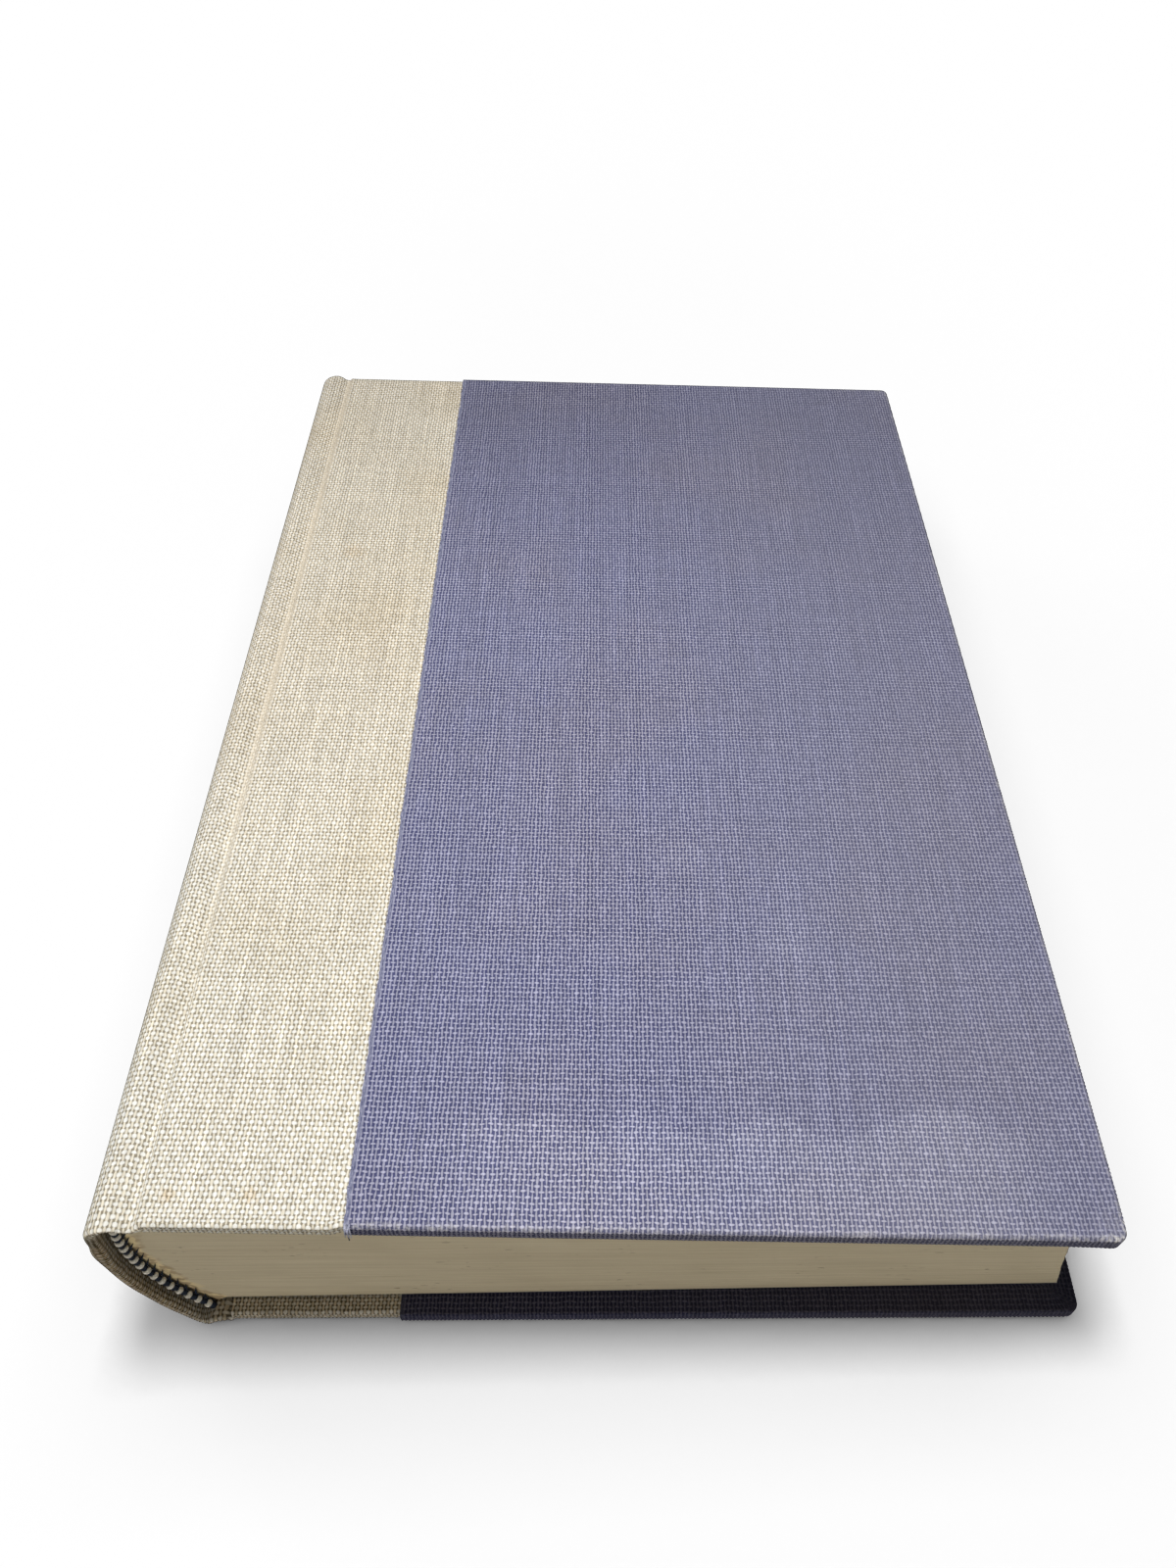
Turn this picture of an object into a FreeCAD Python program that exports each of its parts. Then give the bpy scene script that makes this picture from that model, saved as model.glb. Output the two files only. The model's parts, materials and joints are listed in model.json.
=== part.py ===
"""A quarter-bound hardback book lying on its back cover, spine to the left, head away from the reader.

The text block is rounded and backed: its spine is an arc that flares into a small shoulder at each
board.  It is thicker at the spine than at the fore-edge, so the front cover slopes down to the right.
Each cover is a board with pale spine cloth round its joint side, coloured side cloth round the rest,
a mull flange and a pastedown inside.  Between the boards runs a hollow spine of cloth over a card.

Every section is drawn in the X-Z plane and runs along Y.  A cover is drawn once, in its own frame:
u runs from the joint edge to the fore-edge, v from the outer face in towards the pages.
"""
import FreeCAD
import Part

import math
import os

Vector = FreeCAD.Vector

# Size of the book, in millimetres
case_height = 222.0            # boards with their cloth, head to tail
cover_width = 140.2            # one cover, joint edge to fore-edge
block_at_spine = 38.4          # pages, measured above the back board's joint edge
block_at_fore_edge = 28.9      # pages, measured at the fore-edge
front_lean = -1.4              # how far the front cover has crept towards the spine

# Squares: how far the covers stand past the pages
head_square = 3.0
tail_square_at_spine = 3.1
tail_square_at_fore_edge = 4.5  # the tail was trimmed a little out of square
fore_square_back = 2.6
fore_square_front = 4.4
fore_edge_hollow = 0.4         # depth of the concave fore-edge

# Sheets that the case is made of
board_thickness = 2.3
cloth = 0.4                    # spine cloth and side cloth
paper = 0.15                   # pastedown and flyleaf
glue_line = 0.02               # kept between glued curved faces
leaf_gap = 0.1                 # between a flyleaf and its pastedown

# Cloth and paper on the covers
quarter_width = 28.7           # spine cloth that shows on a cover, from the joint edge
cloth_overlap = 3.0            # side cloth over spine cloth
turn_in = 15.0                 # cloth folded on to the inside of a board
corner_radius = 1.5            # covers, seen from above
edge_rounding = 0.6            # cloth round a board's outer edge
inner_rounding = 0.3           # cloth round a board's inner edge
pastedown_margin = 3.4         # cloth that shows round the pastedown at head and fore-edge
pastedown_tail_margin = 4.8    # and at the tail, where the pages hide the pastedown's edge
tray_wall = 0.3                # pastedown where it steps down inside the turn-ins

# Spine
spine_radius = 54.0            # outer face of the spine cloth
joint_width_back = 4.7         # board's joint edge to the middle of the spine's shoulder
joint_width_front = 4.8
shoulder_radius_back = 2.0     # spine cloth over the shoulder
shoulder_radius_front = 3.6    # the upper shoulder has settled into a rounder shape
shoulder_top = 0.1             # how far the shoulder stays inside the cover's outer face
groove_depth = 0.8             # below the spine cloth on the board
groove_radius = 1.5            # spine cloth going down into the groove
board_edge_radius = 0.9        # spine cloth over the board's joint edge
board_foot_radius = 0.5        # spine cloth at the foot of the board's joint edge
hinge_gap = 0.3                # between the cloth that stays and the cloth that turns
hinge_lift = 0.15              # hinge line outside the cover's outer face
inlay_thickness = 0.8
inlay_margin = 1.2             # card stops short of the shoulders

# Pages at the spine
wall_to_block = 3.0            # outer face of the spine cloth to the pages
backing_height = 1.6           # shoulders thrown out beyond the pages' flat face
backing_radius = 0.8
backing_flare = 1.2
mull_thickness = 0.3
mull_inset = 12.0              # mull stops short of head and tail
mull_flange_width = 25.0
mull_flange_inset = 24.0
lining_thickness = 0.2
lining_inset = 2.0

# Endbands
band_ribbon = 0.25
band_depth = 9.0
bead_radius = 0.6
bead_core = 0.45
bead_seat = 0.05               # between the bead and the ends of the pages
stitch_pitch = 1.25
stitch_gap = 0.15              # between one turn of thread and the next
stitch_sides = 10              # flats round one turn of thread

# Levels in a cover's own frame, from its outer face inwards
side_inner = cloth
quarter_outer = cloth
quarter_inner = quarter_outer + cloth
board_inner = side_inner + board_thickness
turn_in_level = board_inner + cloth
pastedown_inner = turn_in_level + paper
leaf_outer = pastedown_inner + leaf_gap
block_face = leaf_outer + paper
groove_level = quarter_outer + groove_depth
overlap_edge = quarter_width + cloth_overlap

# How the two covers lie
block_base = block_face
fore_edge_back = cover_width - fore_square_back
front_slope = math.atan((block_at_spine - block_at_fore_edge) / fore_edge_back)
slope_sin = math.sin(front_slope)
slope_cos = math.cos(front_slope)
front_face_z = block_base + block_at_spine - front_lean * math.tan(front_slope)
front_origin = Vector(front_lean + block_face * slope_sin, 0, front_face_z + block_face * slope_cos)
fore_edge_front = cover_width - fore_square_front


def back_point(u, v):
    """A point of the back cover's frame in the X-Z plane."""
    return Vector(u, 0, v)


def front_point(u, v):
    """A point of the front cover's frame, which is turned over and sloped."""
    x = front_origin.x + u * slope_cos - v * slope_sin
    z = front_origin.z - u * slope_sin - v * slope_cos
    return Vector(x, 0, z)


def to_front_frame(point):
    """u and v of a point in the front cover's frame."""
    across = point.x - front_origin.x
    up = point.z - front_origin.z
    return across * slope_cos - up * slope_sin, -across * slope_sin - up * slope_cos


def ogee_run(height, first_radius, second_radius):
    """Length that two tangent arcs need to climb a height, level at both ends."""
    return math.sqrt(height * (2 * (first_radius + second_radius) - height))


# The spine's arc touches both shoulders from outside
shoulder_height = groove_level - shoulder_top
back_shoulder = back_point(-joint_width_back, shoulder_top + shoulder_radius_back)
front_shoulder = front_point(-joint_width_front, shoulder_top + shoulder_radius_front)
chord = (front_shoulder - back_shoulder).Length
back_reach = spine_radius - shoulder_radius_back
front_reach = spine_radius - shoulder_radius_front
along = (chord ** 2 + back_reach ** 2 - front_reach ** 2) / (2 * chord)
chord_direction = (front_shoulder - back_shoulder).normalize()
inwards_from_chord = Vector(chord_direction.z, 0, -chord_direction.x)
spine_centre = back_shoulder + chord_direction * along + inwards_from_chord * math.sqrt(
    back_reach ** 2 - along ** 2)

# Each hinge line runs along the bottom of its groove
cover_cloth_end = -ogee_run(groove_depth, board_edge_radius, board_foot_radius)
hinge_v = -hinge_lift


def hinge_u(joint_width, shoulder_radius):
    """Halfway along the groove's flat bottom."""
    root_cloth_end = -joint_width + ogee_run(shoulder_height, shoulder_radius, groove_radius)
    return (root_cloth_end + cover_cloth_end) / 2


back_hinge_u = hinge_u(joint_width_back, shoulder_radius_back)
front_hinge_u = hinge_u(joint_width_front, shoulder_radius_front)
back_hinge = back_point(back_hinge_u, hinge_v)
front_hinge = front_point(front_hinge_u, hinge_v)

block_spine_radius = spine_radius - wall_to_block

# The origin lies under the middle of the book's box
spine_extreme = spine_centre.x - spine_radius
frame_shift = Vector(-(spine_extreme + cover_width) / 2, -case_height / 2, 0)


def arc(start, middle, end):
    return Part.Arc(start, middle, end).toShape()


def line(start, end):
    return Part.LineSegment(start, end).toShape()


def on_circle(centre, radius, directions):
    """The point of a circle that lies halfway between some directions from its centre."""
    total = Vector(0, 0, 0)
    for direction in directions:
        total = total + direction
    return centre + total.normalize() * radius


def prism(edges, start, end):
    """A closed outline in the X-Z plane, run along Y from start to end."""
    face = Part.Face(Part.Wire(Part.__sortEdges__(edges)))
    face.translate(Vector(0, start, 0))
    return face.extrude(Vector(0, end - start, 0))


def block_between(low, high):
    """A box from its lowest and highest corners."""
    size = high - low
    return Part.makeBox(size.x, size.y, size.z, low)


class SpineLine:
    """The outline of a rounded spine: an arc, a shoulder at each end and a flare down to the face.

    It is described once and asked for at any offset, so that each layer lies on the one below.
    """

    def __init__(self, radius, shoulders, height, flare, face_v):
        self.radius = radius
        self.flare = flare
        self.face_v = face_v
        self.ends = []
        frames = ((back_point, (spine_centre.x, spine_centre.z)), (front_point, to_front_frame(spine_centre)))
        for (to_world, centre_uv), shoulder in zip(frames, shoulders):
            shoulder_v = face_v - height + shoulder
            reach = math.sqrt((radius - shoulder) ** 2 - (shoulder_v - centre_uv[1]) ** 2)
            shoulder_u = centre_uv[0] - reach
            flare_u = shoulder_u + ogee_run(height, shoulder, flare)
            self.ends.append((to_world, shoulder, shoulder_u, shoulder_v, flare_u))

    def flare_u(self, side):
        """Where the flare meets the face, in the frame of the back (0) or front (1) cover."""
        return self.ends[side][4]

    def end_edges(self, side, offset, end_u):
        """Edges from the spine's arc out to the face, and the two points where they start and stop."""
        to_world, shoulder, shoulder_u, shoulder_v, flare_u = self.ends[side]
        shoulder_centre = to_world(shoulder_u, shoulder_v)
        flare_centre = to_world(flare_u, self.face_v - self.flare)
        outwards = (shoulder_centre - spine_centre).normalize()
        across = (flare_centre - shoulder_centre).normalize()
        inwards = (to_world(flare_u, self.face_v) - flare_centre).normalize()
        shoulder_radius_here = shoulder + offset
        flare_radius_here = self.flare - offset
        start = shoulder_centre + outwards * shoulder_radius_here
        crossing = shoulder_centre + across * shoulder_radius_here
        stop = to_world(flare_u, self.face_v - offset)
        edges = [
            arc(start, on_circle(shoulder_centre, shoulder_radius_here, (outwards, across)), crossing),
            arc(crossing, on_circle(flare_centre, flare_radius_here, (across * -1, inwards)), stop),
        ]
        if end_u is not None and end_u > flare_u:
            last = to_world(end_u, self.face_v - offset)
            edges.append(line(stop, last))
            stop = last
        return edges, start, stop

    def edges(self, offset, end_us=(None, None)):
        """The whole outline at an offset outwards, with its two last points."""
        back_edges, back_start, back_stop = self.end_edges(0, offset, end_us[0])
        front_edges, front_start, front_stop = self.end_edges(1, offset, end_us[1])
        middle = spine_centre - Vector(self.radius + offset, 0, 0)
        return back_edges + front_edges + [arc(back_start, middle, front_start)], back_stop, front_stop

    def band(self, inner, outer, start, end, end_us=(None, None)):
        """A layer between two offsets, run along Y."""
        inner_edges, inner_back, inner_front = self.edges(inner, end_us)
        outer_edges, outer_back, outer_front = self.edges(outer, end_us)
        caps = [line(inner_back, outer_back), line(inner_front, outer_front)]
        return prism(inner_edges + outer_edges + caps, start, end)


cloth_shoulders = (shoulder_radius_back, shoulder_radius_front)
block_shoulders = (backing_radius, backing_radius)
cloth_line = SpineLine(spine_radius, cloth_shoulders, shoulder_height, groove_radius, groove_level)
block_line = SpineLine(block_spine_radius, block_shoulders, backing_height, backing_flare, block_face)


def spine_angles(margin, radius):
    """Angles about the spine's centre that reach to a margin from each shoulder's arc."""
    low = math.atan2(back_shoulder.z - spine_centre.z, back_shoulder.x - spine_centre.x)
    high = math.atan2(front_shoulder.z - spine_centre.z, front_shoulder.x - spine_centre.x)
    step = margin / radius
    return low % (2 * math.pi) - step, high % (2 * math.pi) + step


def at_angle(radius, angle):
    return spine_centre + Vector(math.cos(angle) * radius, 0, math.sin(angle) * radius)


def curved_strip(inner, outer, start, end, margin=0.0):
    """A strip that follows the spine's arc only, between two radii."""
    low, high = spine_angles(margin, outer)
    middle = (low + high) / 2
    edges = [
        arc(at_angle(inner, low), at_angle(inner, middle), at_angle(inner, high)),
        arc(at_angle(outer, low), at_angle(outer, middle), at_angle(outer, high)),
        line(at_angle(inner, low), at_angle(outer, low)),
        line(at_angle(inner, high), at_angle(outer, high)),
    ]
    return prism(edges, start, end)


def tail_y(x):
    """Where the tail of the pages is, which is not quite square to the spine."""
    skew = (tail_square_at_fore_edge - tail_square_at_spine) / fore_edge_back
    return tail_square_at_spine + skew * x


head_y = case_height - head_square


def trim_tail(shape):
    """Cuts a page or the whole block along the slanting tail."""
    left = spine_extreme - 1
    right = cover_width + 1
    corners = [
        Vector(left, -1, -1),
        Vector(right, -1, -1),
        Vector(right, tail_y(right), -1),
        Vector(left, tail_y(left), -1),
    ]
    waste = Part.Face(Part.makePolygon(corners + corners[:1])).extrude(Vector(0, 0, front_origin.z + 10))
    return shape.cut(waste)


# Pieces of the text block

def make_text_block():
    """All the pages, glued and sewn: rounded spine with shoulders, hollow fore-edge."""
    spine_edges, back_end, front_end = block_line.edges(0)
    back_corner = back_point(fore_edge_back, block_face)
    front_corner = front_point(fore_edge_front, block_face)
    hollow = (back_corner + front_corner) * 0.5 - Vector(fore_edge_hollow, 0, 0)
    outline = spine_edges + [
        line(back_end, back_corner),
        arc(back_corner, hollow, front_corner),
        line(front_corner, front_end),
    ]
    return trim_tail(prism(outline, 0, head_y))


def make_flyleaf(to_world, fore_edge, side):
    """The free half of an endpaper, lying on the pages from the shoulder to the fore-edge."""
    start_u = block_line.flare_u(side)
    outline = [
        to_world(start_u, leaf_outer),
        to_world(fore_edge, leaf_outer),
        to_world(fore_edge, block_face),
        to_world(start_u, block_face),
    ]
    edges = [line(outline[i - 1], outline[i]) for i in range(len(outline))]
    return trim_tail(prism(edges, 0, head_y))


def make_mull():
    """Open gauze glued over the spine and its shoulders."""
    return block_line.band(glue_line, glue_line + mull_thickness, mull_inset, case_height - mull_inset)


def make_spine_lining():
    """Strong paper over the mull."""
    inner = block_spine_radius + 2 * glue_line + mull_thickness
    return curved_strip(inner, inner + lining_thickness, tail_square_at_spine + lining_inset,
                        head_y - lining_inset)


def make_endband(end_y, outwards):
    """A ribbon behind the pages with a bead of thread turns along their edge.

    outwards is -1 at the tail and +1 at the head.
    """
    bead_y = end_y + outwards * (bead_radius + bead_seat)
    low, high = spine_angles(0, block_spine_radius)
    ribbon_ends = sorted((bead_y, end_y - outwards * band_depth))
    inner = block_spine_radius + glue_line
    band = curved_strip(inner, inner + band_ribbon, ribbon_ends[0], ribbon_ends[1])
    turns = max(2, round((high - low) * block_spine_radius / stitch_pitch))
    step = (high - low) / turns
    core = curved_strip(block_spine_radius - bead_core, block_spine_radius + bead_core,
                        bead_y - bead_core, bead_y + bead_core)
    pieces = [core]
    for turn in range(turns):
        pieces.append(thread_turn(low + (turn + 0.5) * step, bead_y))
    return band.multiFuse(pieces)


def thread_turn(angle, y):
    """One turn of thread round the bead's core, at an angle about the spine's centre."""
    length = stitch_pitch - stitch_gap
    radial = Vector(math.cos(angle), 0, math.sin(angle))
    tangent = Vector(-math.sin(angle), 0, math.cos(angle))
    start = at_angle(block_spine_radius, angle) + Vector(0, y, 0) - tangent * (length / 2)
    corners = []
    for side in range(stitch_sides):
        turn = 2 * math.pi * side / stitch_sides
        corners.append(start + radial * (bead_radius * math.cos(turn))
                       + Vector(0, bead_radius * math.sin(turn), 0))
    return Part.Face(Part.makePolygon(corners + corners[:1])).extrude(tangent * length)


def make_spine_inlay():
    """The card that stiffens the hollow spine."""
    outer = spine_radius - cloth - glue_line
    return curved_strip(outer - inlay_thickness, outer, cloth + glue_line,
                        case_height - cloth - glue_line, inlay_margin)


def make_spine_cloth():
    """Cloth over the spine, turned in over the card at head and tail."""
    cloth_ends = (back_hinge_u - hinge_gap / 2, front_hinge_u - hinge_gap / 2)
    outer_cloth = cloth_line.band(-cloth, 0, 0, case_height, cloth_ends)
    turned_outer = spine_radius - cloth - inlay_thickness - 2 * glue_line
    turned_inner = turned_outer - cloth
    pieces = []
    for start, end, fold_start, fold_end in (
        (0, turn_in, 0, cloth),
        (case_height - turn_in, case_height, case_height - cloth, case_height),
    ):
        pieces.append(curved_strip(turned_inner, turned_outer, start, end, inlay_margin))
        pieces.append(curved_strip(turned_inner, spine_radius - cloth / 2, fold_start, fold_end,
                                   inlay_margin))
    return outer_cloth.multiFuse(pieces)


# Pieces of a cover, drawn in the cover's own frame with u along X and v along Z

def rounded_plate(low, high, radius, outer_fillet, inner_fillet):
    """A plate with two rounded corners at the fore-edge and softened long edges."""
    plate = block_between(low, high)
    upright = [
        edge for edge in plate.Edges
        if abs(edge.Vertexes[0].X - high.x) < 1e-6 and abs(edge.Vertexes[1].X - high.x) < 1e-6
        and abs(edge.Vertexes[0].Y - edge.Vertexes[1].Y) < 1e-6
    ]
    plate = plate.makeFillet(radius, upright)
    for level, fillet in ((low.z, outer_fillet), (high.z, inner_fillet)):
        if fillet > 0:
            rim = [
                edge for edge in plate.Edges
                if all(abs(vertex.Z - level) < 1e-6 for vertex in edge.Vertexes)
                and edge.CenterOfMass.x > low.x + 1e-3
            ]
            plate = plate.makeFillet(fillet, rim)
    return plate


def quarter_envelope():
    """The room that the spine cloth takes on a board, edges included."""
    return block_between(
        Vector(0, cloth, quarter_outer),
        Vector(overlap_edge, case_height - cloth, turn_in_level),
    )


def quarter_core():
    """The board inside the spine cloth."""
    return block_between(
        Vector(-1, 2 * cloth, quarter_inner),
        Vector(overlap_edge + 1, case_height - 2 * cloth, board_inner),
    )


def make_board():
    """Greyboard, pressed one cloth thinner where the spine cloth lies on it."""
    board = rounded_plate(
        Vector(0, cloth, side_inner),
        Vector(cover_width - cloth, case_height - cloth, board_inner),
        corner_radius - cloth, 0, 0,
    )
    return board.cut(quarter_envelope().cut(quarter_core()))


def make_side_cloth():
    """Side cloth round three edges of the board, turned in on the inside."""
    plate = rounded_plate(
        Vector(quarter_width, 0, 0),
        Vector(cover_width, case_height, turn_in_level),
        corner_radius, edge_rounding, inner_rounding,
    )
    board_room = rounded_plate(
        Vector(quarter_width - 1, cloth, side_inner),
        Vector(cover_width - cloth, case_height - cloth, board_inner),
        corner_radius - cloth, 0, 0,
    )
    window = block_between(
        Vector(quarter_width - 1, turn_in, board_inner - cloth),
        Vector(cover_width - turn_in, case_height - turn_in, turn_in_level + 1),
    )
    return plate.cut(board_room).cut(window)


def make_quarter_cloth(hinge):
    """The spine cloth's lap on a board, from the groove to under the side cloth."""
    lap = quarter_envelope().cut(quarter_core())
    window = block_between(
        Vector(-1, turn_in, board_inner),
        Vector(overlap_edge + 1, case_height - turn_in, turn_in_level + 1),
    )
    under_side_cloth = block_between(
        Vector(quarter_width, -1, board_inner),
        Vector(overlap_edge + 1, case_height + 1, turn_in_level + 1),
    )
    lap = lap.cut(window).cut(under_side_cloth)
    return lap.fuse(groove_strip(hinge))


def groove_strip(hinge):
    """Cloth from the board's joint edge down into the groove, as far as the hinge line."""
    start_u = hinge + hinge_gap / 2
    edge_centre = Vector(0, 0, quarter_outer + board_edge_radius)
    foot_centre = Vector(cover_cloth_end, 0, groove_level - board_foot_radius)
    across = (foot_centre - edge_centre).normalize()
    up = Vector(0, 0, -1)
    edges = []
    ends = []
    for inset in (0, cloth):
        edge_radius = board_edge_radius - inset
        foot_radius = board_foot_radius + inset
        top = edge_centre + up * edge_radius
        crossing = edge_centre + across * edge_radius
        bottom = foot_centre - up * foot_radius
        last = Vector(start_u, 0, bottom.z)
        edges += [
            arc(top, on_circle(edge_centre, edge_radius, (up, across)), crossing),
            arc(crossing, on_circle(foot_centre, foot_radius, (across * -1, up * -1)), bottom),
            line(bottom, last),
        ]
        ends.append((top, last))
    edges += [line(ends[0][0], ends[1][0]), line(ends[0][1], ends[1][1])]
    return prism(edges, cloth, case_height - cloth)


def make_mull_flange():
    """The mull's flap, glued to the inside of the board."""
    return block_between(
        Vector(2 * glue_line, mull_flange_inset, board_inner),
        Vector(mull_flange_width, case_height - mull_flange_inset, turn_in_level),
    )


def make_pastedown():
    """The fixed half of an endpaper, which sinks to the board inside the turn-ins."""
    sheet = block_between(
        Vector(0, pastedown_tail_margin, turn_in_level),
        Vector(cover_width - pastedown_margin, case_height - pastedown_margin, pastedown_inner),
    )
    low = Vector(mull_flange_width, turn_in, board_inner)
    high = Vector(cover_width - turn_in, case_height - turn_in, pastedown_inner)
    tray = block_between(low, high)
    sunk = block_between(
        low + Vector(tray_wall, tray_wall, paper),
        high + Vector(-tray_wall, -tray_wall, 1),
    )
    return sheet.fuse(tray).cut(sunk)


def on_front(shape):
    """Turns a cover's piece over and lays it on the pages as the front cover."""
    turned = shape.mirror(Vector(0, 0, 0), Vector(0, 0, 1))
    turned.rotate(Vector(0, 0, 0), Vector(0, 1, 0), math.degrees(front_slope))
    turned.translate(front_origin)
    return turned


def build():
    """Every piece by the name of its node."""
    pieces = {
        "text_block": make_text_block(),
        "front_flyleaf": make_flyleaf(front_point, fore_edge_front, 1),
        "back_flyleaf": make_flyleaf(back_point, fore_edge_back, 0),
        "mull": make_mull(),
        "spine_lining": make_spine_lining(),
        "tail_endband": make_endband(tail_y(spine_extreme), -1),
        "head_endband": make_endband(head_y, 1),
        "spine_inlay": make_spine_inlay(),
        "spine_cloth": make_spine_cloth(),
    }
    makers = {
        "board": make_board,
        "side_cloth": make_side_cloth,
        "mull_flange": make_mull_flange,
        "pastedown": make_pastedown,
    }
    for name, make in makers.items():
        piece = make()
        pieces["back_" + name] = piece
        pieces["front_" + name] = on_front(piece)
    pieces["back_quarter_cloth"] = make_quarter_cloth(back_hinge_u)
    pieces["front_quarter_cloth"] = on_front(make_quarter_cloth(front_hinge_u))
    return pieces


os.makedirs("parts", exist_ok=True)
for node, shape in build().items():
    shape.translate(frame_shift)
    shape.exportStep(f"parts/{node}.step")
    print(f"{node}: {len(shape.Solids)} solid, {shape.Volume:.1f} mm3, valid {shape.isValid()}")
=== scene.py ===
# %% [markdown]
# # A quarter-bound hardback book
# The book lies on its back cover with its spine to the left. Pale linen covers the spine and the
# joint side of both boards, and lavender-blue cloth covers the rest. The imported CAD model gives the
# true sizes, the three moving bodies and the two hinges. This lesson dresses it: folded cloth with
# its weave, fanned pages, sewn-looking endbands and endpapers.

import json
import math

import bpy
import numpy as np
from mathutils import Matrix, Vector


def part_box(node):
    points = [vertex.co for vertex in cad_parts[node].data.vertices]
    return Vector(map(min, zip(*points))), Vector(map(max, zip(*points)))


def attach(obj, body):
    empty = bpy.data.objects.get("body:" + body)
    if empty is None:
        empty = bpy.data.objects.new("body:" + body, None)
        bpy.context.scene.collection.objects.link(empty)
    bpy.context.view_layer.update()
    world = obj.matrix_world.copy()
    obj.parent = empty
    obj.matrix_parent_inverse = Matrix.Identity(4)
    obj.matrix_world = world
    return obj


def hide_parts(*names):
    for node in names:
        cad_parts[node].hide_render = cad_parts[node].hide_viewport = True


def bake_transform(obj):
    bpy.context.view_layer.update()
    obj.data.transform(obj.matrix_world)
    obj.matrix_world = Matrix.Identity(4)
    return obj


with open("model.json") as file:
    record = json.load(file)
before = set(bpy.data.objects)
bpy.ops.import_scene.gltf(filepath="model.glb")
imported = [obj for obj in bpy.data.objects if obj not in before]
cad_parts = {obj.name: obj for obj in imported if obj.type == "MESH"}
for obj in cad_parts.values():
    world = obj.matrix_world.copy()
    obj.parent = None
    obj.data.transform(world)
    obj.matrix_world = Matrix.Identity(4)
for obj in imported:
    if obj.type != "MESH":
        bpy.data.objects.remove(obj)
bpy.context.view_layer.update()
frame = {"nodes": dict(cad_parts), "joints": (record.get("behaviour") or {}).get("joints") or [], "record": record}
MM = 0.001
joints = {joint["name"]: joint for joint in frame["joints"]}
mounts = {mount["name"]: mount for mount in frame["record"]["mounts"]}

# %% [markdown]
# Each cover has its own frame: u runs from the board's joint edge to the fore-edge, v runs from the
# cover's outer face in towards the pages, and y runs along the spine. A binder thinks this way too,
# because both covers are cut alike and only lie differently. Working in u and v lets one function
# make both covers, although the front one slopes with the swollen spine.

# %% Cover frames
HINGE_LIFT = 0.15  # the hinge line lies this far outside the cover's outer face


def node_points(name):
    """The vertices of a CAD node in millimetres."""
    return np.array([vertex.co for vertex in frame["nodes"][name].data.vertices]) / MM


class Cover:
    """Turns a cover's u, v into the row frame's x, z, in millimetres."""

    def __init__(self, side, inward):
        self.side = side
        self.body = side + "_cover"
        self.v_axis = np.array(inward, float)
        self.u_axis = np.array([abs(inward[1]), -abs(inward[0])])
        hinge = np.array(joints[side + "_cover_hinge"]["pos_m"])[[0, 2]] / MM
        board = node_points(side + "_board")[:, [0, 2]]
        self.hinge_u = -((board - hinge) @ self.u_axis).min()  # below 0, because it lies in the joint
        self.origin = hinge - self.hinge_u * self.u_axis + HINGE_LIFT * self.v_axis

    def xz(self, u, v):
        u, v = np.asarray(u, float), np.asarray(v, float)
        return self.origin + np.multiply.outer(u, self.u_axis) + np.multiply.outer(v, self.v_axis)

    def point(self, u, v, y):
        x, z = self.xz(u, v)
        return np.array([x, y, z])


slope_sin, _, slope_cos = mounts["front_cover_face"]["axis"]
BACK = Cover("back", (0, 1))
FRONT = Cover("front", (-slope_sin, -slope_cos))
COVERS = (FRONT, BACK)
TAIL, HEAD = (corner.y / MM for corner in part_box("front_side_cloth"))
COVER_WIDTH = max((node_points("back_side_cloth")[:, [0, 2]] - BACK.origin) @ BACK.u_axis)
print(f"cover {COVER_WIDTH:.1f} mm wide, tail {TAIL:.1f}, head {HEAD:.1f}, hinge at u {FRONT.hinge_u:.2f}")

# %% [markdown]
# The camera stood close above the tail, so the near edge looks much wider than the far one. Its
# place, its angles and its lens were solved from the cover's corners in the photograph, with the
# cover taken as 222 mm high. Setting those numbers is more exact than aiming by eye.

# %% Camera
FOCAL_PIXELS = 1201.07
IMAGE_HEIGHT = 1600
SENSOR_HEIGHT = 36.0
CAMERA_PLACE = (6.044, -170.647, 207.992)
CAMERA_PITCH, CAMERA_YAW, CAMERA_ROLL = 0.708, 0.061, -0.070

camera_data = bpy.data.cameras.new("camera")
camera_data.sensor_fit = "VERTICAL"
camera_data.sensor_height = SENSOR_HEIGHT
camera_data.lens = FOCAL_PIXELS / IMAGE_HEIGHT * SENSOR_HEIGHT
camera_data.clip_start = 0.01
camera = bpy.data.objects.new("camera", camera_data)
camera.matrix_world = (
    Matrix.Translation(Vector(CAMERA_PLACE) * MM)
    @ Matrix.Rotation(CAMERA_YAW, 4, "Z")
    @ Matrix.Rotation(CAMERA_PITCH, 4, "X")
    @ Matrix.Rotation(CAMERA_ROLL, 4, "Z")
)
bpy.context.scene.collection.objects.link(camera)
bpy.context.scene.camera = camera
print(f"lens {camera_data.lens:.2f} mm")

# %% [markdown]
# Materials are built from nodes. A small helper adds a math node and returns its output, so that a
# formula for threads reads almost like the formula on paper.

# %% Node helpers


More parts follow.
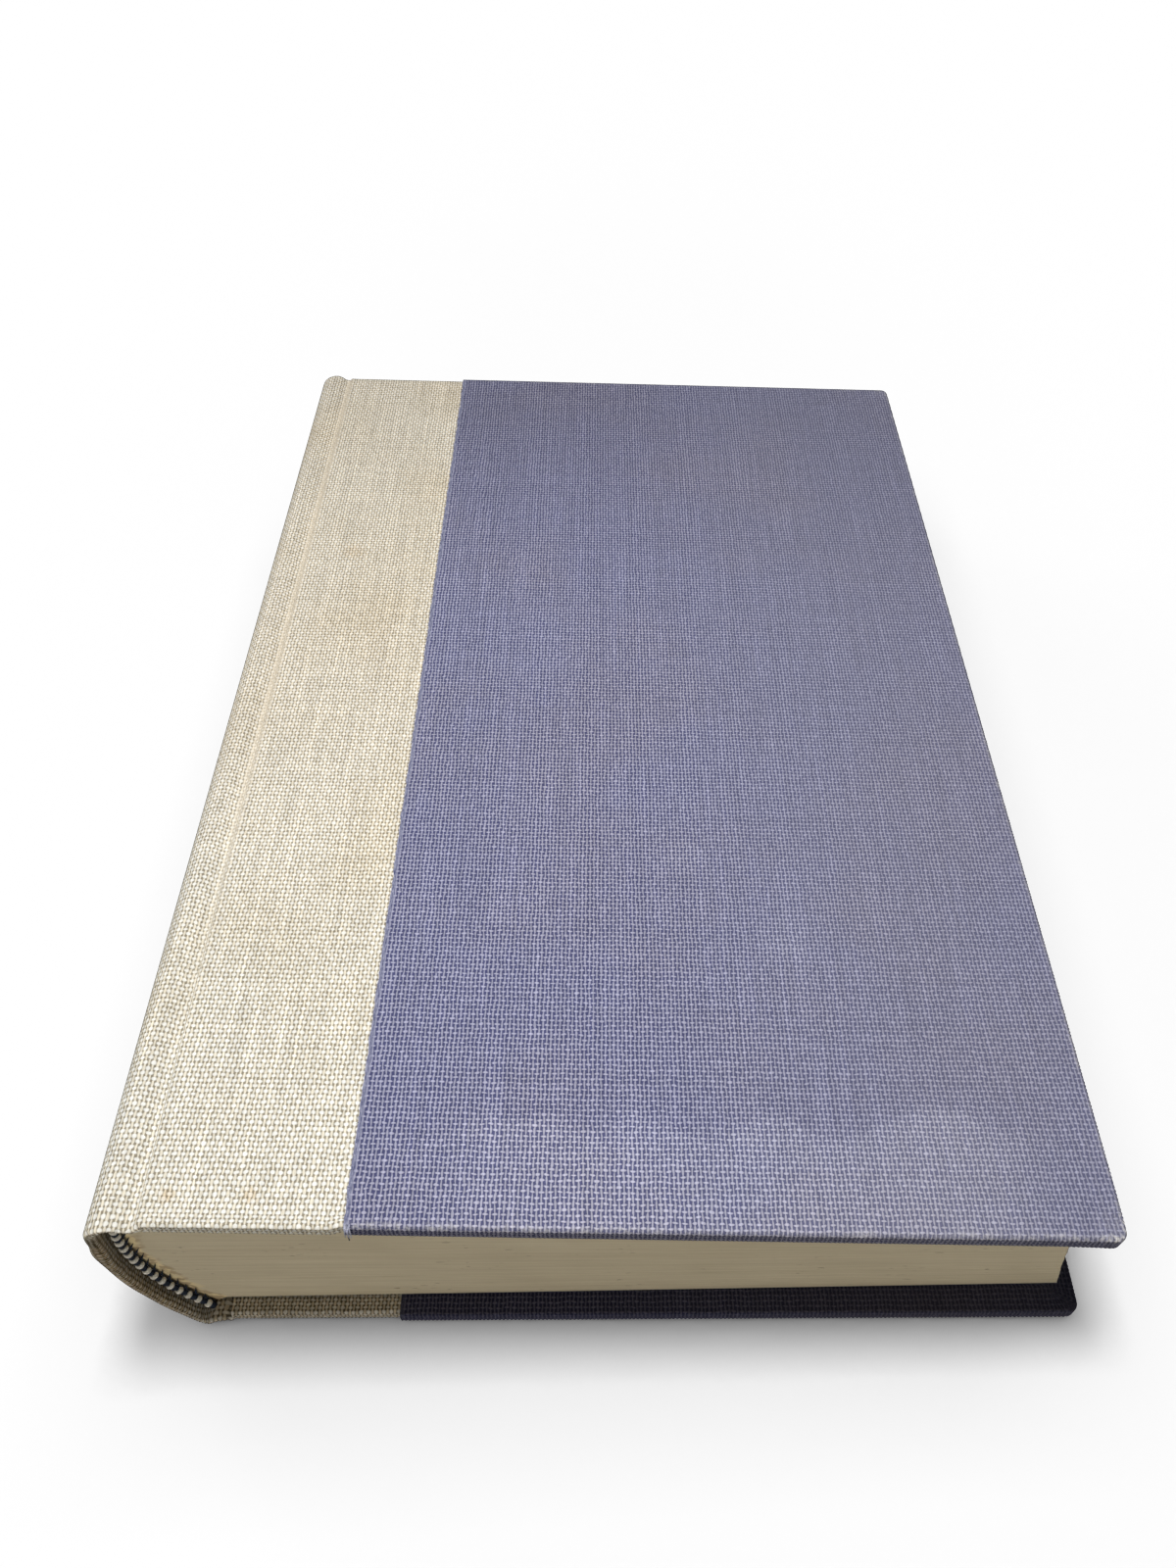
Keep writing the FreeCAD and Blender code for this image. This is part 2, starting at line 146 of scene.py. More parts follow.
class Nodes:
    """Adds nodes to one tree and links or fills their inputs."""

    def __init__(self, tree):
        self.tree = tree
        self.count = 0

    def add(self, kind, values=None, **settings):
        node = self.tree.nodes.new(kind)
        node.location = (180 * (self.count % 8), -220 * (self.count // 8))
        self.count += 1
        for name, value in settings.items():
            setattr(node, name, value)
        for key, value in (values or {}).items():
            self.feed(node.inputs[key], value)
        return node

    def feed(self, socket, value):
        if isinstance(value, bpy.types.NodeSocket):
            self.tree.links.new(value, socket)
        else:
            socket.default_value = value

    def math(self, operation, *values):
        node = self.add("ShaderNodeMath", operation=operation)
        for socket, value in zip(node.inputs, values):
            self.feed(socket, value)
        return node.outputs[0]

    def mix(self, share, first, second, blend="MIX"):
        node = self.add("ShaderNodeMix", data_type="RGBA", blend_type=blend)
        self.feed(node.inputs[0], share)
        self.feed(node.inputs[6], first)
        self.feed(node.inputs[7], second)
        return node.outputs[2]

    def steps(self, value, low, high, to_low=0.0, to_high=1.0):
        node = self.add("ShaderNodeMapRange", interpolation_type="SMOOTHSTEP")
        for socket, number in zip(node.inputs, (value, low, high, to_low, to_high)):
            self.feed(socket, number)
        return node.outputs[0]

    def steps_mm(self, value, low, high, to_low=0.0, to_high=1.0):
        """The same for a length on the unfolded cloth, with its limits in millimetres."""
        return self.steps(value, low * MM, high * MM, to_low, to_high)

    def product(self, first, *others):
        for other in others:
            first = self.math("MULTIPLY", first, other)
        return first

    def tint(self, share, colour, factor):
        """A colour that is multiplied by a factor where the share is 1."""
        return self.mix(share, colour, self.mix(1.0, colour, factor, "MULTIPLY"))

    def noise(self, vector, scale, detail=2.0, roughness=0.5):
        node = self.add("ShaderNodeTexNoise", {"Vector": vector, "Scale": scale, "Detail": detail,
                                               "Roughness": roughness})
        return node.outputs["Fac"]

    def scaled(self, vector, scale, offset=(0, 0, 0)):
        node = self.add("ShaderNodeMapping", {"Vector": vector, "Scale": scale, "Location": offset})
        return node.outputs[0]


def linear(red, green, blue):
    """A colour as a screen shows it, 0 to 255, turned into the linear values that nodes use."""
    return tuple((channel / 255) ** 2.2 for channel in (red, green, blue)) + (1.0,)


def new_material(name, roughness, specular=0.3):
    material = bpy.data.materials.new(name)
    material.use_nodes = True
    material.node_tree.nodes.clear()
    nodes = Nodes(material.node_tree)
    finish = {"Roughness": roughness, "Specular IOR Level": specular}
    shader = nodes.add("ShaderNodeBsdfPrincipled", finish)
    output = nodes.add("ShaderNodeOutputMaterial")
    nodes.tree.links.new(shader.outputs[0], output.inputs[0])
    return material, nodes, shader


print("mid grey in linear values:", [round(value, 3) for value in linear(128, 128, 128)])

# %% [markdown]
# Bookcloth is a plain weave: each cross thread goes over one thread and under the next. Counted in
# the photograph, the linen's threads along the spine are 0.64 mm apart, the blue cloth's 0.66 mm,
# and the cross threads of both 0.84 mm. Each thread is a half-round ridge that rises where it passes
# over and sinks where it passes under. The cross threads bend far more than the long ones, so they
# show as short knots, staggered from row to row, which the cloth materials paint bright as painted
# highlight. A node group holds this, so both cloths can use it with their own colours.

# %% Weave group
LONG_PITCH, CROSS_PITCH = 0.64, 0.84
BLUE_LONG_PITCH = 0.66
LONG_SWING, CROSS_SWING = 0.22, 0.62
TOP_SWELL = 0.18     # a thread is this much wider where it lies on top
ROUND_HEIGHT = 0.9   # height of a thread's round top
HOLE_DEPTH = 0.3     # the holes lie this far below the cloth's middle
RELIEF = 1.8         # from the bottom of a hole to the highest thread
WEAVE_INPUTS = ("Long width", "Cross width", "Wander")
WEAVE_OUTPUTS = ("Height", "Cross on top", "Long level", "Cross level", "Long thread", "Cross thread")


def make_weave_group():
    tree = bpy.data.node_groups.new("plain_weave", "ShaderNodeTree")
    tree.interface.new_socket("Vector", in_out="INPUT", socket_type="NodeSocketVector")
    for name in WEAVE_INPUTS:
        tree.interface.new_socket(name, in_out="INPUT", socket_type="NodeSocketFloat")
    for name in WEAVE_OUTPUTS:
        tree.interface.new_socket(name, in_out="OUTPUT", socket_type="NodeSocketFloat")
    nodes = Nodes(tree)
    source = nodes.add("NodeGroupInput").outputs
    wander = nodes.add("ShaderNodeTexNoise", {"Vector": source["Vector"], "Scale": 0.3, "Detail": 4.0})
    centred = nodes.add("ShaderNodeVectorMath", {0: wander.outputs["Color"], 1: (0.5, 0.5, 0.5)},
                        operation="SUBTRACT")
    shift = nodes.add("ShaderNodeVectorMath", {0: centred.outputs[0], "Scale": source["Wander"]},
                      operation="SCALE")
    moved = nodes.add("ShaderNodeVectorMath", {0: source["Vector"], 1: shift.outputs[0]}, operation="ADD")
    split = nodes.add("ShaderNodeSeparateXYZ", {0: moved.outputs[0]})
    thickness = nodes.steps(nodes.noise(source["Vector"], 0.55, 2.0), 0.3, 0.7, 0.8, 1.2)
    ridges = []
    for across, along, width, sign, swing_height in ((0, 1, "Long width", 1.0, LONG_SWING),
                                                     (1, 0, "Cross width", -1.0, CROSS_SWING)):
        index = nodes.math("FLOOR", split.outputs[across])
        place = nodes.math("SUBTRACT", nodes.math("FRACT", split.outputs[across]), 0.5)
        side = nodes.math("COSINE", nodes.math("MULTIPLY", index, math.pi))
        swing = nodes.math("SINE", nodes.math("MULTIPLY", split.outputs[along], math.pi))
        rise = nodes.product(side, swing, sign)
        swell = nodes.math("MULTIPLY_ADD", rise, TOP_SWELL, 1.0)
        half = nodes.product(source[width], swell, thickness)
        reach = nodes.math("DIVIDE", place, half)
        section = nodes.math("SUBTRACT", 1.0, nodes.math("MULTIPLY", reach, reach))
        round_top = nodes.math("POWER", nodes.math("MAXIMUM", section, 0.0), 0.5)
        round_height = nodes.math("MULTIPLY", round_top, ROUND_HEIGHT)
        level = nodes.math("MULTIPLY_ADD", rise, swing_height, round_height)
        gap = nodes.steps(section, -0.35, 0.05, 1.2, 0.0)
        ridges.append((nodes.math("SUBTRACT", level, gap), index))
    (long_level, long_index), (cross_level, cross_index) = ridges
    top = nodes.math("MAXIMUM", nodes.math("MAXIMUM", long_level, cross_level), -HOLE_DEPTH)
    height = nodes.math("DIVIDE", nodes.math("ADD", top, HOLE_DEPTH), RELIEF)
    cross_on_top = nodes.steps(nodes.math("SUBTRACT", cross_level, long_level), -0.08, 0.08)
    output = nodes.add("NodeGroupOutput")
    results = (height, cross_on_top, long_level, cross_level, long_index, cross_index)
    for name, value in zip(WEAVE_OUTPUTS, results):
        nodes.feed(output.inputs[name], value)
    return tree


weave_group = make_weave_group()
print("weave group:", len(weave_group.nodes), "nodes")

# %% [markdown]
# A cloth material takes its thread coordinates from the UV map, which holds real millimetres of
# unfolded cloth. So the weave runs on round every edge, as on the real cover. Each thread is painted
# darker where it dives and the holes between are painted darkest, as painted shade, and the cross
# threads' crowns are painted pale, as painted highlight. Threads differ a little from one to the
# next, and thicker slubs, broad faded patches and a few stains keep the cloth from looking printed.

# %% Cloth materials
LONG_TONE, CROSS_TONE = 0.07, 0.05    # how much threads differ from one to the next
LONG_SLUB_TONES = (-0.07, 0.08)       # thin and thick stretches of the long threads
CROSS_SLUB_TONES = (-0.03, 0.05)
THICK_SLUB_TONE = 0.10                # rare slubs that run far along one thread
GRAIN_TONE = 0.26
BASE_TONE = 0.93
THREAD_WANDER = 0.9
CLOTH_RELIEF = 0.75


def thread_tone(nodes, index, seed):
    """A steady random number for each thread."""
    number = nodes.math("ADD", index, seed)
    return nodes.add("ShaderNodeTexWhiteNoise", {"W": number}, noise_dimensions="1D").outputs["Value"]


def near_point(nodes, uv, place, radius, ragged=0.5):
    """1 at a point of the cloth, given in millimetres, and 0 outside an uneven round patch."""
    centre = (place[0] * MM, place[1] * MM, 0)
    distance = nodes.add("ShaderNodeVectorMath", {0: uv, 1: centre}, operation="DISTANCE").outputs["Value"]
    uneven = nodes.math("MULTIPLY", nodes.noise(uv, 900.0, 3.0), radius * ragged * MM)
    return nodes.steps_mm(nodes.math("ADD", distance, uneven), 0.35 * radius, radius, 1.0, 0.0)


def cloth_material(name, pitch, widths, colours, patch_colour, patch_share):
    """colours: long thread, cross thread with its crown painted pale as painted highlight, and hole, painted dark
    as painted shade. Returns what later cells add stains, worn rims and painted shade to.
    """
    material, nodes, shader = new_material(name, 0.9, 0.06)
    uv = nodes.add("ShaderNodeUVMap").outputs[0]
    threads = nodes.scaled(uv, (1 / (pitch[0] * MM), 1 / (pitch[1] * MM), 1))
    weave = nodes.add("ShaderNodeGroup", node_tree=weave_group)
    for key, value in zip(("Vector",) + WEAVE_INPUTS, (threads,) + widths + (THREAD_WANDER,)):
        nodes.feed(weave.inputs[key], value)
    long_thread, cross_thread, hole = colours
    # painted shade: each thread darkens to the hole colour where it dives; painted highlight: the cross threads'
    # pale crowns
    long_colour = nodes.mix(nodes.steps(weave.outputs["Long level"], -0.1, 0.85), hole, long_thread)
    cross_colour = nodes.mix(nodes.steps(weave.outputs["Cross level"], 0.15, 1.35), hole, cross_thread)
    colour = nodes.mix(weave.outputs["Cross on top"], long_colour, cross_colour)
    long_tone = thread_tone(nodes, weave.outputs["Long thread"], 3.0)
    cross_tone = thread_tone(nodes, weave.outputs["Cross thread"], 71.0)
    slubs = nodes.noise(nodes.scaled(threads, (1.0, 0.045, 1)), 0.9, 2.0)
    cross_slubs = nodes.noise(nodes.scaled(threads, (0.05, 1.0, 1)), 0.9, 2.0)
    thick_slubs = nodes.noise(nodes.scaled(threads, (1.2, 0.018, 1)), 1.0, 1.0)
    grain = nodes.noise(threads, 2.2, 2.0)
    tone = nodes.math("MULTIPLY_ADD", long_tone, LONG_TONE, nodes.math("MULTIPLY", cross_tone, CROSS_TONE))
    tone = nodes.math("ADD", tone, nodes.steps(slubs, 0.35, 0.72, *LONG_SLUB_TONES))
    tone = nodes.math("ADD", tone, nodes.steps(cross_slubs, 0.38, 0.72, *CROSS_SLUB_TONES))
    tone = nodes.math("ADD", tone, nodes.steps(thick_slubs, 0.58, 0.70, 0.0, THICK_SLUB_TONE))
    tone = nodes.math("MULTIPLY_ADD", nodes.math("SUBTRACT", grain, 0.5), GRAIN_TONE, tone)
    shade = nodes.math("ADD", tone, BASE_TONE)
    toned = nodes.add("ShaderNodeVectorMath", {0: colour, "Scale": shade}, operation="SCALE").outputs[0]
    patches = nodes.steps(nodes.noise(uv, 22.0, 4.0, 0.55), 0.42, 0.66, 0.0, patch_share)
    final = nodes.tint(patches, toned, patch_colour)
    fluff = nodes.noise(threads, 6.0, 2.0)
    height = nodes.math("MULTIPLY_ADD", fluff, 0.12, weave.outputs["Height"])
    bump = nodes.add("ShaderNodeBump", {"Strength": CLOTH_RELIEF, "Distance": 0.0002, "Height": height})
    nodes.feed(shader.inputs["Base Color"], final)
    nodes.feed(shader.inputs["Normal"], bump.outputs[0])
    return material, nodes, shader, uv, final


linen, linen_nodes, linen_shader, linen_uv, linen_colour = cloth_material(
    "cream_linen", (LONG_PITCH, CROSS_PITCH), (0.27, 0.34),
    (linear(243, 236, 219), linear(255, 255, 251), linear(158, 150, 132)),
    (0.94, 0.90, 0.83, 1), 0.8)
blue_cloth, blue_nodes, blue_shader, blue_uv, blue_colour = cloth_material(
    "blue_bookcloth", (BLUE_LONG_PITCH, CROSS_PITCH), (0.21, 0.20),
    (linear(163, 164, 190), linear(178, 179, 207), linear(81, 84, 121)),
    (1.06, 1.0, 0.90, 1), 0.5)
print("cloth materials:", linen.name, blue_cloth.name)

# %% [markdown]
# The linen has two faint rusty spots near the tail, a tan tinge on the tail corner of the spine and
# a brown fleck on the shoulder. Towards the head it has yellowed a little, and the binder's folder
# has pressed it smooth in the groove. These marks are placed on the unfolded cloth by their
# millimetres, because they belong to the cloth and must move with it. Across the linen they count
# from its edge under the blue cloth, and along it from the tail.

# %% Marks on the linen
# Each spot has a place across and along the linen, a radius (all in millimetres) and a strength.
SPOTS = (
    ((28.7, 4.3), 2.2, 0.42),
    ((17.0, 4.6), 2.4, 0.38),
    ((49.0, 131.5), 1.3, 0.9),
    ((22.0, 150.0), 5.0, 0.2),
    ((51.0, 1.0), 8.0, 0.22),
    ((49.5, 30.0), 10.0, 0.10),
)
RUSTY = (0.82, 0.60, 0.34, 1)
YELLOWED = (0.972, 0.935, 0.892, 1)
PRESSED_SMOOTH = linear(240, 232, 216)

linen_parts = linen_nodes.add("ShaderNodeSeparateXYZ", {0: linen_uv})
across, along = linen_parts.outputs[0], linen_parts.outputs[1]
pressed = linen_nodes.product(
    linen_nodes.steps_mm(across, 31.2, 32.2),
    linen_nodes.steps_mm(across, 33.4, 34.2, 1.0, 0.0),
    linen_nodes.steps_mm(along, 20, 90, 0.0, 0.55))
marked_linen = linen_nodes.mix(pressed, linen_colour, PRESSED_SMOOTH)
marked_linen = linen_nodes.tint(linen_nodes.steps_mm(along, 30, 120), marked_linen, YELLOWED)
for place, radius, strength in SPOTS:
    spot = linen_nodes.product(near_point(linen_nodes, linen_uv, place, radius), strength)
    marked_linen = linen_nodes.tint(spot, marked_linen, RUSTY)
print(len(SPOTS), "spots on the linen")

# %% [markdown]
# The folds at head and tail are painted darker, as painted shade, the back cover's and the spine's
# most of all. The shade is painted deepest in the holes of the weave: multiplying the cloth's colour
# by itself does just that, because it darkens what is already dark. The back half of the linen lies
# 200 mm further on in the UV map, so taking that off gives both halves the same measure across.

# %% Painted shade in the folds
LINEN_HEIGHT = 222.0
BACK_UV_SHIFT = 200.0
FOLD_PAINTED_SHADE = (0.61, 0.575, 0.55, 1)
PAINTED_SHADE_FRONT_BOARD, PAINTED_SHADE_BACK_BOARD = 0.12, 0.78  # the spine's folds count as 1

linen_on_back = linen_nodes.steps_mm(across, 100, 110)
across_half = linen_nodes.math("MULTIPLY_ADD", linen_on_back, -BACK_UV_SHIFT * MM, across)
on_board = linen_nodes.math("MULTIPLY_ADD", linen_on_back, PAINTED_SHADE_BACK_BOARD - PAINTED_SHADE_FRONT_BOARD,
                            PAINTED_SHADE_FRONT_BOARD)
folded = linen_nodes.math("MAXIMUM",
                          linen_nodes.steps_mm(along, -1.2, -0.4, 1.0, 0.0),
                          linen_nodes.steps_mm(along, LINEN_HEIGHT + 0.4, LINEN_HEIGHT + 1.2))
# painted shade on the folds at head and tail, deepest on the spine and the back cover
painted_fold_shade = linen_nodes.product(folded, linen_nodes.steps_mm(across_half, 36, 46, on_board, 1.0))
holes_painted_darker = linen_nodes.mix(1.0, marked_linen, marked_linen, "MULTIPLY")
linen_in_painted_shade = linen_nodes.mix(1.0, holes_painted_darker, FOLD_PAINTED_SHADE, "MULTIPLY")
linen_nodes.feed(linen_shader.inputs["Base Color"], linen_nodes.mix(painted_fold_shade, marked_linen, linen_in_painted_shade))
print("linen material:", len(linen.node_tree.nodes), "nodes")

# %% [markdown]
# The blue cloth's UV map has u across the cover and y from its middle, so one mirrored coordinate
# serves head and tail alike. The rims are painted pale, partly from rubbing and partly as painted
# highlight, and the corners most. The back cover's cloth is laid 400 mm further up, beyond the reach
# of these pale rims.

# %% Rubbing and painted highlight on the blue cloth's rims
WORN_CORNER = (140.2, 111.0)
WORN_REACH = 9.0
RIM_PALE_AND_HIGHLIGHT = linear(226, 224, 226)


def beyond_edges(across, along, fore_edge, ends):
    """1 past the fore-edge or past head and tail. Both limits are pairs of millimetres."""
    return blue_nodes.math("MAXIMUM",
                           blue_nodes.steps_mm(across, *fore_edge),
                           blue_nodes.steps_mm(along, *ends))


mirrored = blue_nodes.add("ShaderNodeVectorMath", {0: blue_uv}, operation="ABSOLUTE").outputs[0]
mirrored_parts = blue_nodes.add("ShaderNodeSeparateXYZ", {0: mirrored})
from_joint, from_centre_line = mirrored_parts.outputs[0], mirrored_parts.outputs[1]
at_rim = beyond_edges(from_joint, from_centre_line, (139.0, 140.0), (109.7, 110.8))
past_rim = beyond_edges(from_joint, from_centre_line, (140.2, 141.2), (111.1, 112.1))
rim = blue_nodes.math("SUBTRACT", at_rim, past_rim)
rubbing_and_highlight = blue_nodes.steps(blue_nodes.noise(blue_uv, 260.0, 3.0), 0.42, 0.62, 0.10, 0.45)
corner = near_point(blue_nodes, mirrored, WORN_CORNER, WORN_REACH)
patchy = blue_nodes.steps(blue_nodes.noise(blue_uv, 1500.0, 3.0), 0.40, 0.62, 0.10, 1.0)
# the rims are painted pale, partly from rubbing and partly as painted highlight, most at the corner
rim_rub_and_highlight = blue_nodes.product(rim, blue_nodes.math("MULTIPLY_ADD", corner, 0.6, rubbing_and_highlight))
rim_rub_and_highlight = blue_nodes.math("MAXIMUM", rim_rub_and_highlight, blue_nodes.product(corner, 0.18))
rim_rub_and_highlight = blue_nodes.product(rim_rub_and_highlight, patchy)
print("blue cloth worn at", WORN_CORNER)

# %% [markdown]
# Light has greyed the blue cloth towards its fore-edge, and the far end is painted darker, as
# painted shade. A dusty tidemark with a scalloped edge runs along the tail, and two pale marks lie
# above it.

# %% Bleach, dust and painted shade on the blue cloth
BLEACHED = linear(131, 131, 147)
DUSTY = (1.24, 1.24, 1.18, 1)
FAR_END_SHADE = (0.86, 0.85, 0.83, 1)
DUSTY_MARKS = (((96.0, -62.0), 9.0), ((80.0, -44.0), 7.0))  # place and radius in millimetres

along_blue = blue_nodes.add("ShaderNodeSeparateXYZ", {0: blue_uv}).outputs[1]
on_back = blue_nodes.steps_mm(from_centre_line, 200, 210)
greyed = blue_nodes.steps_mm(from_joint, 60, 125, 0.0, 0.32)
marked_blue = blue_nodes.mix(greyed, blue_colour, BLEACHED)
scallops = blue_nodes.product(blue_nodes.noise(blue_uv, 55.0, 1.0), 16 * MM)
dust = blue_nodes.product(
    blue_nodes.steps_mm(blue_nodes.math("ADD", along_blue, scallops), -88.5, -85.0, 1.0, 0.0),
    blue_nodes.steps_mm(from_joint, 24, 62),
    blue_nodes.steps_mm(from_joint, 118, 136, 1.0, 0.0))
for place, radius in DUSTY_MARKS:
    mark = blue_nodes.product(near_point(blue_nodes, blue_uv, place, radius), 0.45)
    dust = blue_nodes.math("MAXIMUM", dust, mark)
marked_blue = blue_nodes.tint(dust, marked_blue, DUSTY)
# painted shade: the front cover's far end is darkened, most near the joint
far_end = blue_nodes.math("SUBTRACT", blue_nodes.steps_mm(along_blue, 30, 100), on_back)
far_end = blue_nodes.product(far_end, blue_nodes.steps_mm(from_joint, 50, 100, 1.0, 0.35))
marked_blue = blue_nodes.tint(far_end, marked_blue, FAR_END_SHADE)
# pale rims: partly rubbing, partly painted highlight
marked_blue = blue_nodes.mix(rim_rub_and_highlight, marked_blue, RIM_PALE_AND_HIGHLIGHT)
print(len(DUSTY_MARKS), "dusty marks above the tidemark")

# %% [markdown]
# Along the cut edge the first long threads lie bare, since no cross thread holds them down. The back
# cover is painted a little darker, and the rims' sides and turn-ins of both covers much darker, most
# on the back cover, as painted shade.

# %% Cut edge, and painted shade on the back cover and the turn-ins
BARE_DARK, BARE_LIGHT = linear(92, 96, 128), linear(166, 169, 194)
BACK_SHADE = (0.78, 0.78, 0.84, 1)
FRONT_TURN_IN_SHADE, BACK_TURN_IN_SHADE = (0.58, 0.58, 0.60, 1), (0.34, 0.33, 0.33, 1)
BLUE_BACK_UV_SHIFT = 400.0

bare = blue_nodes.steps_mm(from_joint, 29.1, 29.5, 0.8, 0.0)
bare_threads = blue_nodes.noise(blue_nodes.scaled(blue_uv, (9000, 700, 1)), 1.0, 2.0)
bare_colour = blue_nodes.mix(blue_nodes.steps(bare_threads, 0.38, 0.62), BARE_DARK, BARE_LIGHT)
marked_blue = blue_nodes.mix(bare, marked_blue, bare_colour)
# painted shade: the back cover's cloth is darkened a little
marked_blue = blue_nodes.tint(on_back, marked_blue, BACK_SHADE)
back_middle = blue_nodes.math("MULTIPLY_ADD", on_back, -BLUE_BACK_UV_SHIFT * MM, from_centre_line)
from_own_middle = blue_nodes.math("ABSOLUTE", back_middle)
# painted shade: the rims' sides and the turn-ins are darkened, the back cover's most
turned_in = beyond_edges(from_joint, from_own_middle, (140.2, 141.0), (111.0, 111.8))
turn_in_painted_shade = blue_nodes.mix(on_back, FRONT_TURN_IN_SHADE, BACK_TURN_IN_SHADE)
blue_nodes.feed(blue_shader.inputs["Base Color"], blue_nodes.tint(turned_in, marked_blue, turn_in_painted_shade))
print("blue material:", len(blue_cloth.node_tree.nodes), "nodes")

# %% [markdown]
# Meshes are written straight from arrays of points, because a folded sheet has a plain rule for
# every point. Points are in millimetres, and the UV map is in metres of unfolded cloth.

# %% Mesh helpers


def mesh_object(name, points, faces, uvs=None, material=None, smooth=True):
    mesh = bpy.data.meshes.new(name)
    mesh.from_pydata((np.asarray(points) * MM).tolist(), [], faces)
    if uvs is not None:
        layer = mesh.uv_layers.new(name="UVMap")
        corner_vertex = np.zeros(len(mesh.loops), int)
        mesh.loops.foreach_get("vertex_index", corner_vertex)
        layer.data.foreach_set("uv", (np.asarray(uvs)[corner_vertex] * MM).ravel())
    mesh.polygons.foreach_set("use_smooth", [smooth] * len(mesh.polygons))
    mesh.update()
    piece = bpy.data.objects.new(name, mesh)
    bpy.context.scene.collection.objects.link(piece)
    if material:
        mesh.materials.append(material)
    return piece


def grid_faces(rows, columns, first=0, flip=False):
    """Four-sided faces of a grid whose points are stored row by row."""
    faces = []
    for row in range(rows - 1):
        for column in range(columns - 1):
            corner = first + row * columns + column
            face = (corner, corner + 1, corner + columns + 1, corner + columns)
            faces.append(face[::-1] if flip else face)
    return faces


def joined(name, parts, materials):
    """One mesh from several parts. Each is its points and faces, with the number of its material."""
    points, faces, slots, total = [], [], [], 0
    for (part_points, part_faces), slot in parts:
        points.append(part_points)
        faces += [tuple(total + corner for corner in face) for face in part_faces]
        slots += [slot] * len(part_faces)
        total += len(part_points)
    piece = mesh_object(name, np.vstack(points), faces)
    for material in materials:
        piece.data.materials.append(material)
    piece.data.polygons.foreach_set("material_index", slots)
    return piece


def evenly(points, spacing):
    """A polyline's points again, at an even spacing, with the length so far."""
    points = np.asarray(points, float)
    lengths = np.r_[0, np.cumsum(np.linalg.norm(np.diff(points[:, :2], axis=0), axis=1))]
    count = max(2, int(round(lengths[-1] / spacing)) + 1)
    wanted = np.linspace(0, lengths[-1], count)
    return np.column_stack([np.interp(wanted, lengths, column) for column in points.T]), wanted


def smooth_between(value, low, high):
    """0 below low, 1 above high, and a soft step between them."""
    share = np.clip((value - low) / (high - low), 0, 1)
    return share * share * (3 - 2 * share)


print("a grid of 3 by 4 points has", len(grid_faces(3, 4)), "faces")

# %% [markdown]
# ## The spine cloth
# One piece of linen runs from board to board. It lies on the board, dips into the groove, goes over
# the shoulder and round the spine, and is folded in at head and tail. It is made as two sheets that
# meet in the middle of the spine, each drawn in its own cover's frame. The section is drawn
# from arcs that touch, the same as in the CAD part, and each point knows which way is inwards, so
# that the folded edge can be laid from it.

# %% Section of the spine cloth
CLOTH = 0.4
SPINE_RADIUS = 54.0
SPINE_CENTRE = np.array([-22.3392, 25.9235])
GROOVE_LEVEL = 1.2
BOARD_EDGE_RADIUS, BOARD_FOOT_RADIUS, GROOVE_RADIUS = 0.9, 0.5, 1.5
SHOULDER_TOP = 0.1
SHOULDERS = {"front": (4.8, 3.6), "back": (4.7, 2.0)}  # joint width and radius
BOUNDARY = 28.7       # where the blue cloth's cut edge lies on the linen
OVERLAP_EDGE = 31.7   # where the linen ends under it
TURN_IN_DEPTH = 2.7   # from the linen's outer face to the turn-in's, over the board
SPINE_FOLD_DEPTH = 1.64
JOINT_FOLD_DEPTH = 0.95
THREAD_STEP = 0.16


def ogee_run(height, first_radius, second_radius):
    return math.sqrt(height * (2 * (first_radius + second_radius) - height))


def arc_between(centre, radius, start, end, bulges_out, steps=14):
    """Points of an arc between two directions, with the direction that points into the book."""
    first, last = math.atan2(start[1], start[0]), math.atan2(end[1], end[0])
    turn = (last - first + math.pi) % (2 * math.pi) - math.pi
    angles = first + turn * np.linspace(0, 1, steps)
    outward = np.column_stack([np.cos(angles), np.sin(angles)])
    inward = -outward if bulges_out else outward
    return np.hstack([centre + radius * outward, inward])


def spine_section(cover):
    """x, z and the inward direction, from under the blue cloth to the middle of the spine."""
    joint_width, shoulder_radius = SHOULDERS[cover.side]
    foot_u = -ogee_run(GROOVE_LEVEL - CLOTH, BOARD_EDGE_RADIUS, BOARD_FOOT_RADIUS)
    flare_u = -joint_width + ogee_run(GROOVE_LEVEL - SHOULDER_TOP, shoulder_radius, GROOVE_RADIUS)
    edge = cover.xz(0, CLOTH + BOARD_EDGE_RADIUS)
    foot = cover.xz(foot_u, GROOVE_LEVEL - BOARD_FOOT_RADIUS)
    flare = cover.xz(flare_u, GROOVE_LEVEL - GROOVE_RADIUS)
    shoulder = cover.xz(-joint_width, SHOULDER_TOP + shoulder_radius)
    out, inwards = -cover.v_axis, cover.v_axis
    from_centre = shoulder - SPINE_CENTRE
    flat = np.hstack([cover.xz(np.linspace(OVERLAP_EDGE, 0, 30), CLOTH), np.tile(inwards, (30, 1))])
    pieces = [
        flat[:-1],
        arc_between(edge, BOARD_EDGE_RADIUS, out, foot - edge, True),
        arc_between(foot, BOARD_FOOT_RADIUS, edge - foot, inwards, False),
        arc_between(flare, GROOVE_RADIUS, inwards, shoulder - flare, False),
        arc_between(shoulder, shoulder_radius, flare - shoulder, from_centre, True, 24),
        arc_between(SPINE_CENTRE, SPINE_RADIUS, from_centre, (-1, 0), True, 60),
    ]
    return np.vstack(pieces)


section_points, section_lengths = evenly(spine_section(FRONT), THREAD_STEP)
print(f"front half of the section: {section_lengths[-1]:.1f} mm, {len(section_points)} points")

# %% [markdown]
# Head and tail are folds. Seen from the end, the cloth turns round the edge and comes back inside,
# and the fold is as deep as what it wraps: a board, two layers of cloth at the joint, or the card of
# the spine. On the front half, the fold at the tail has come loose and stands out a little, and at
# the shoulder it stands out most.

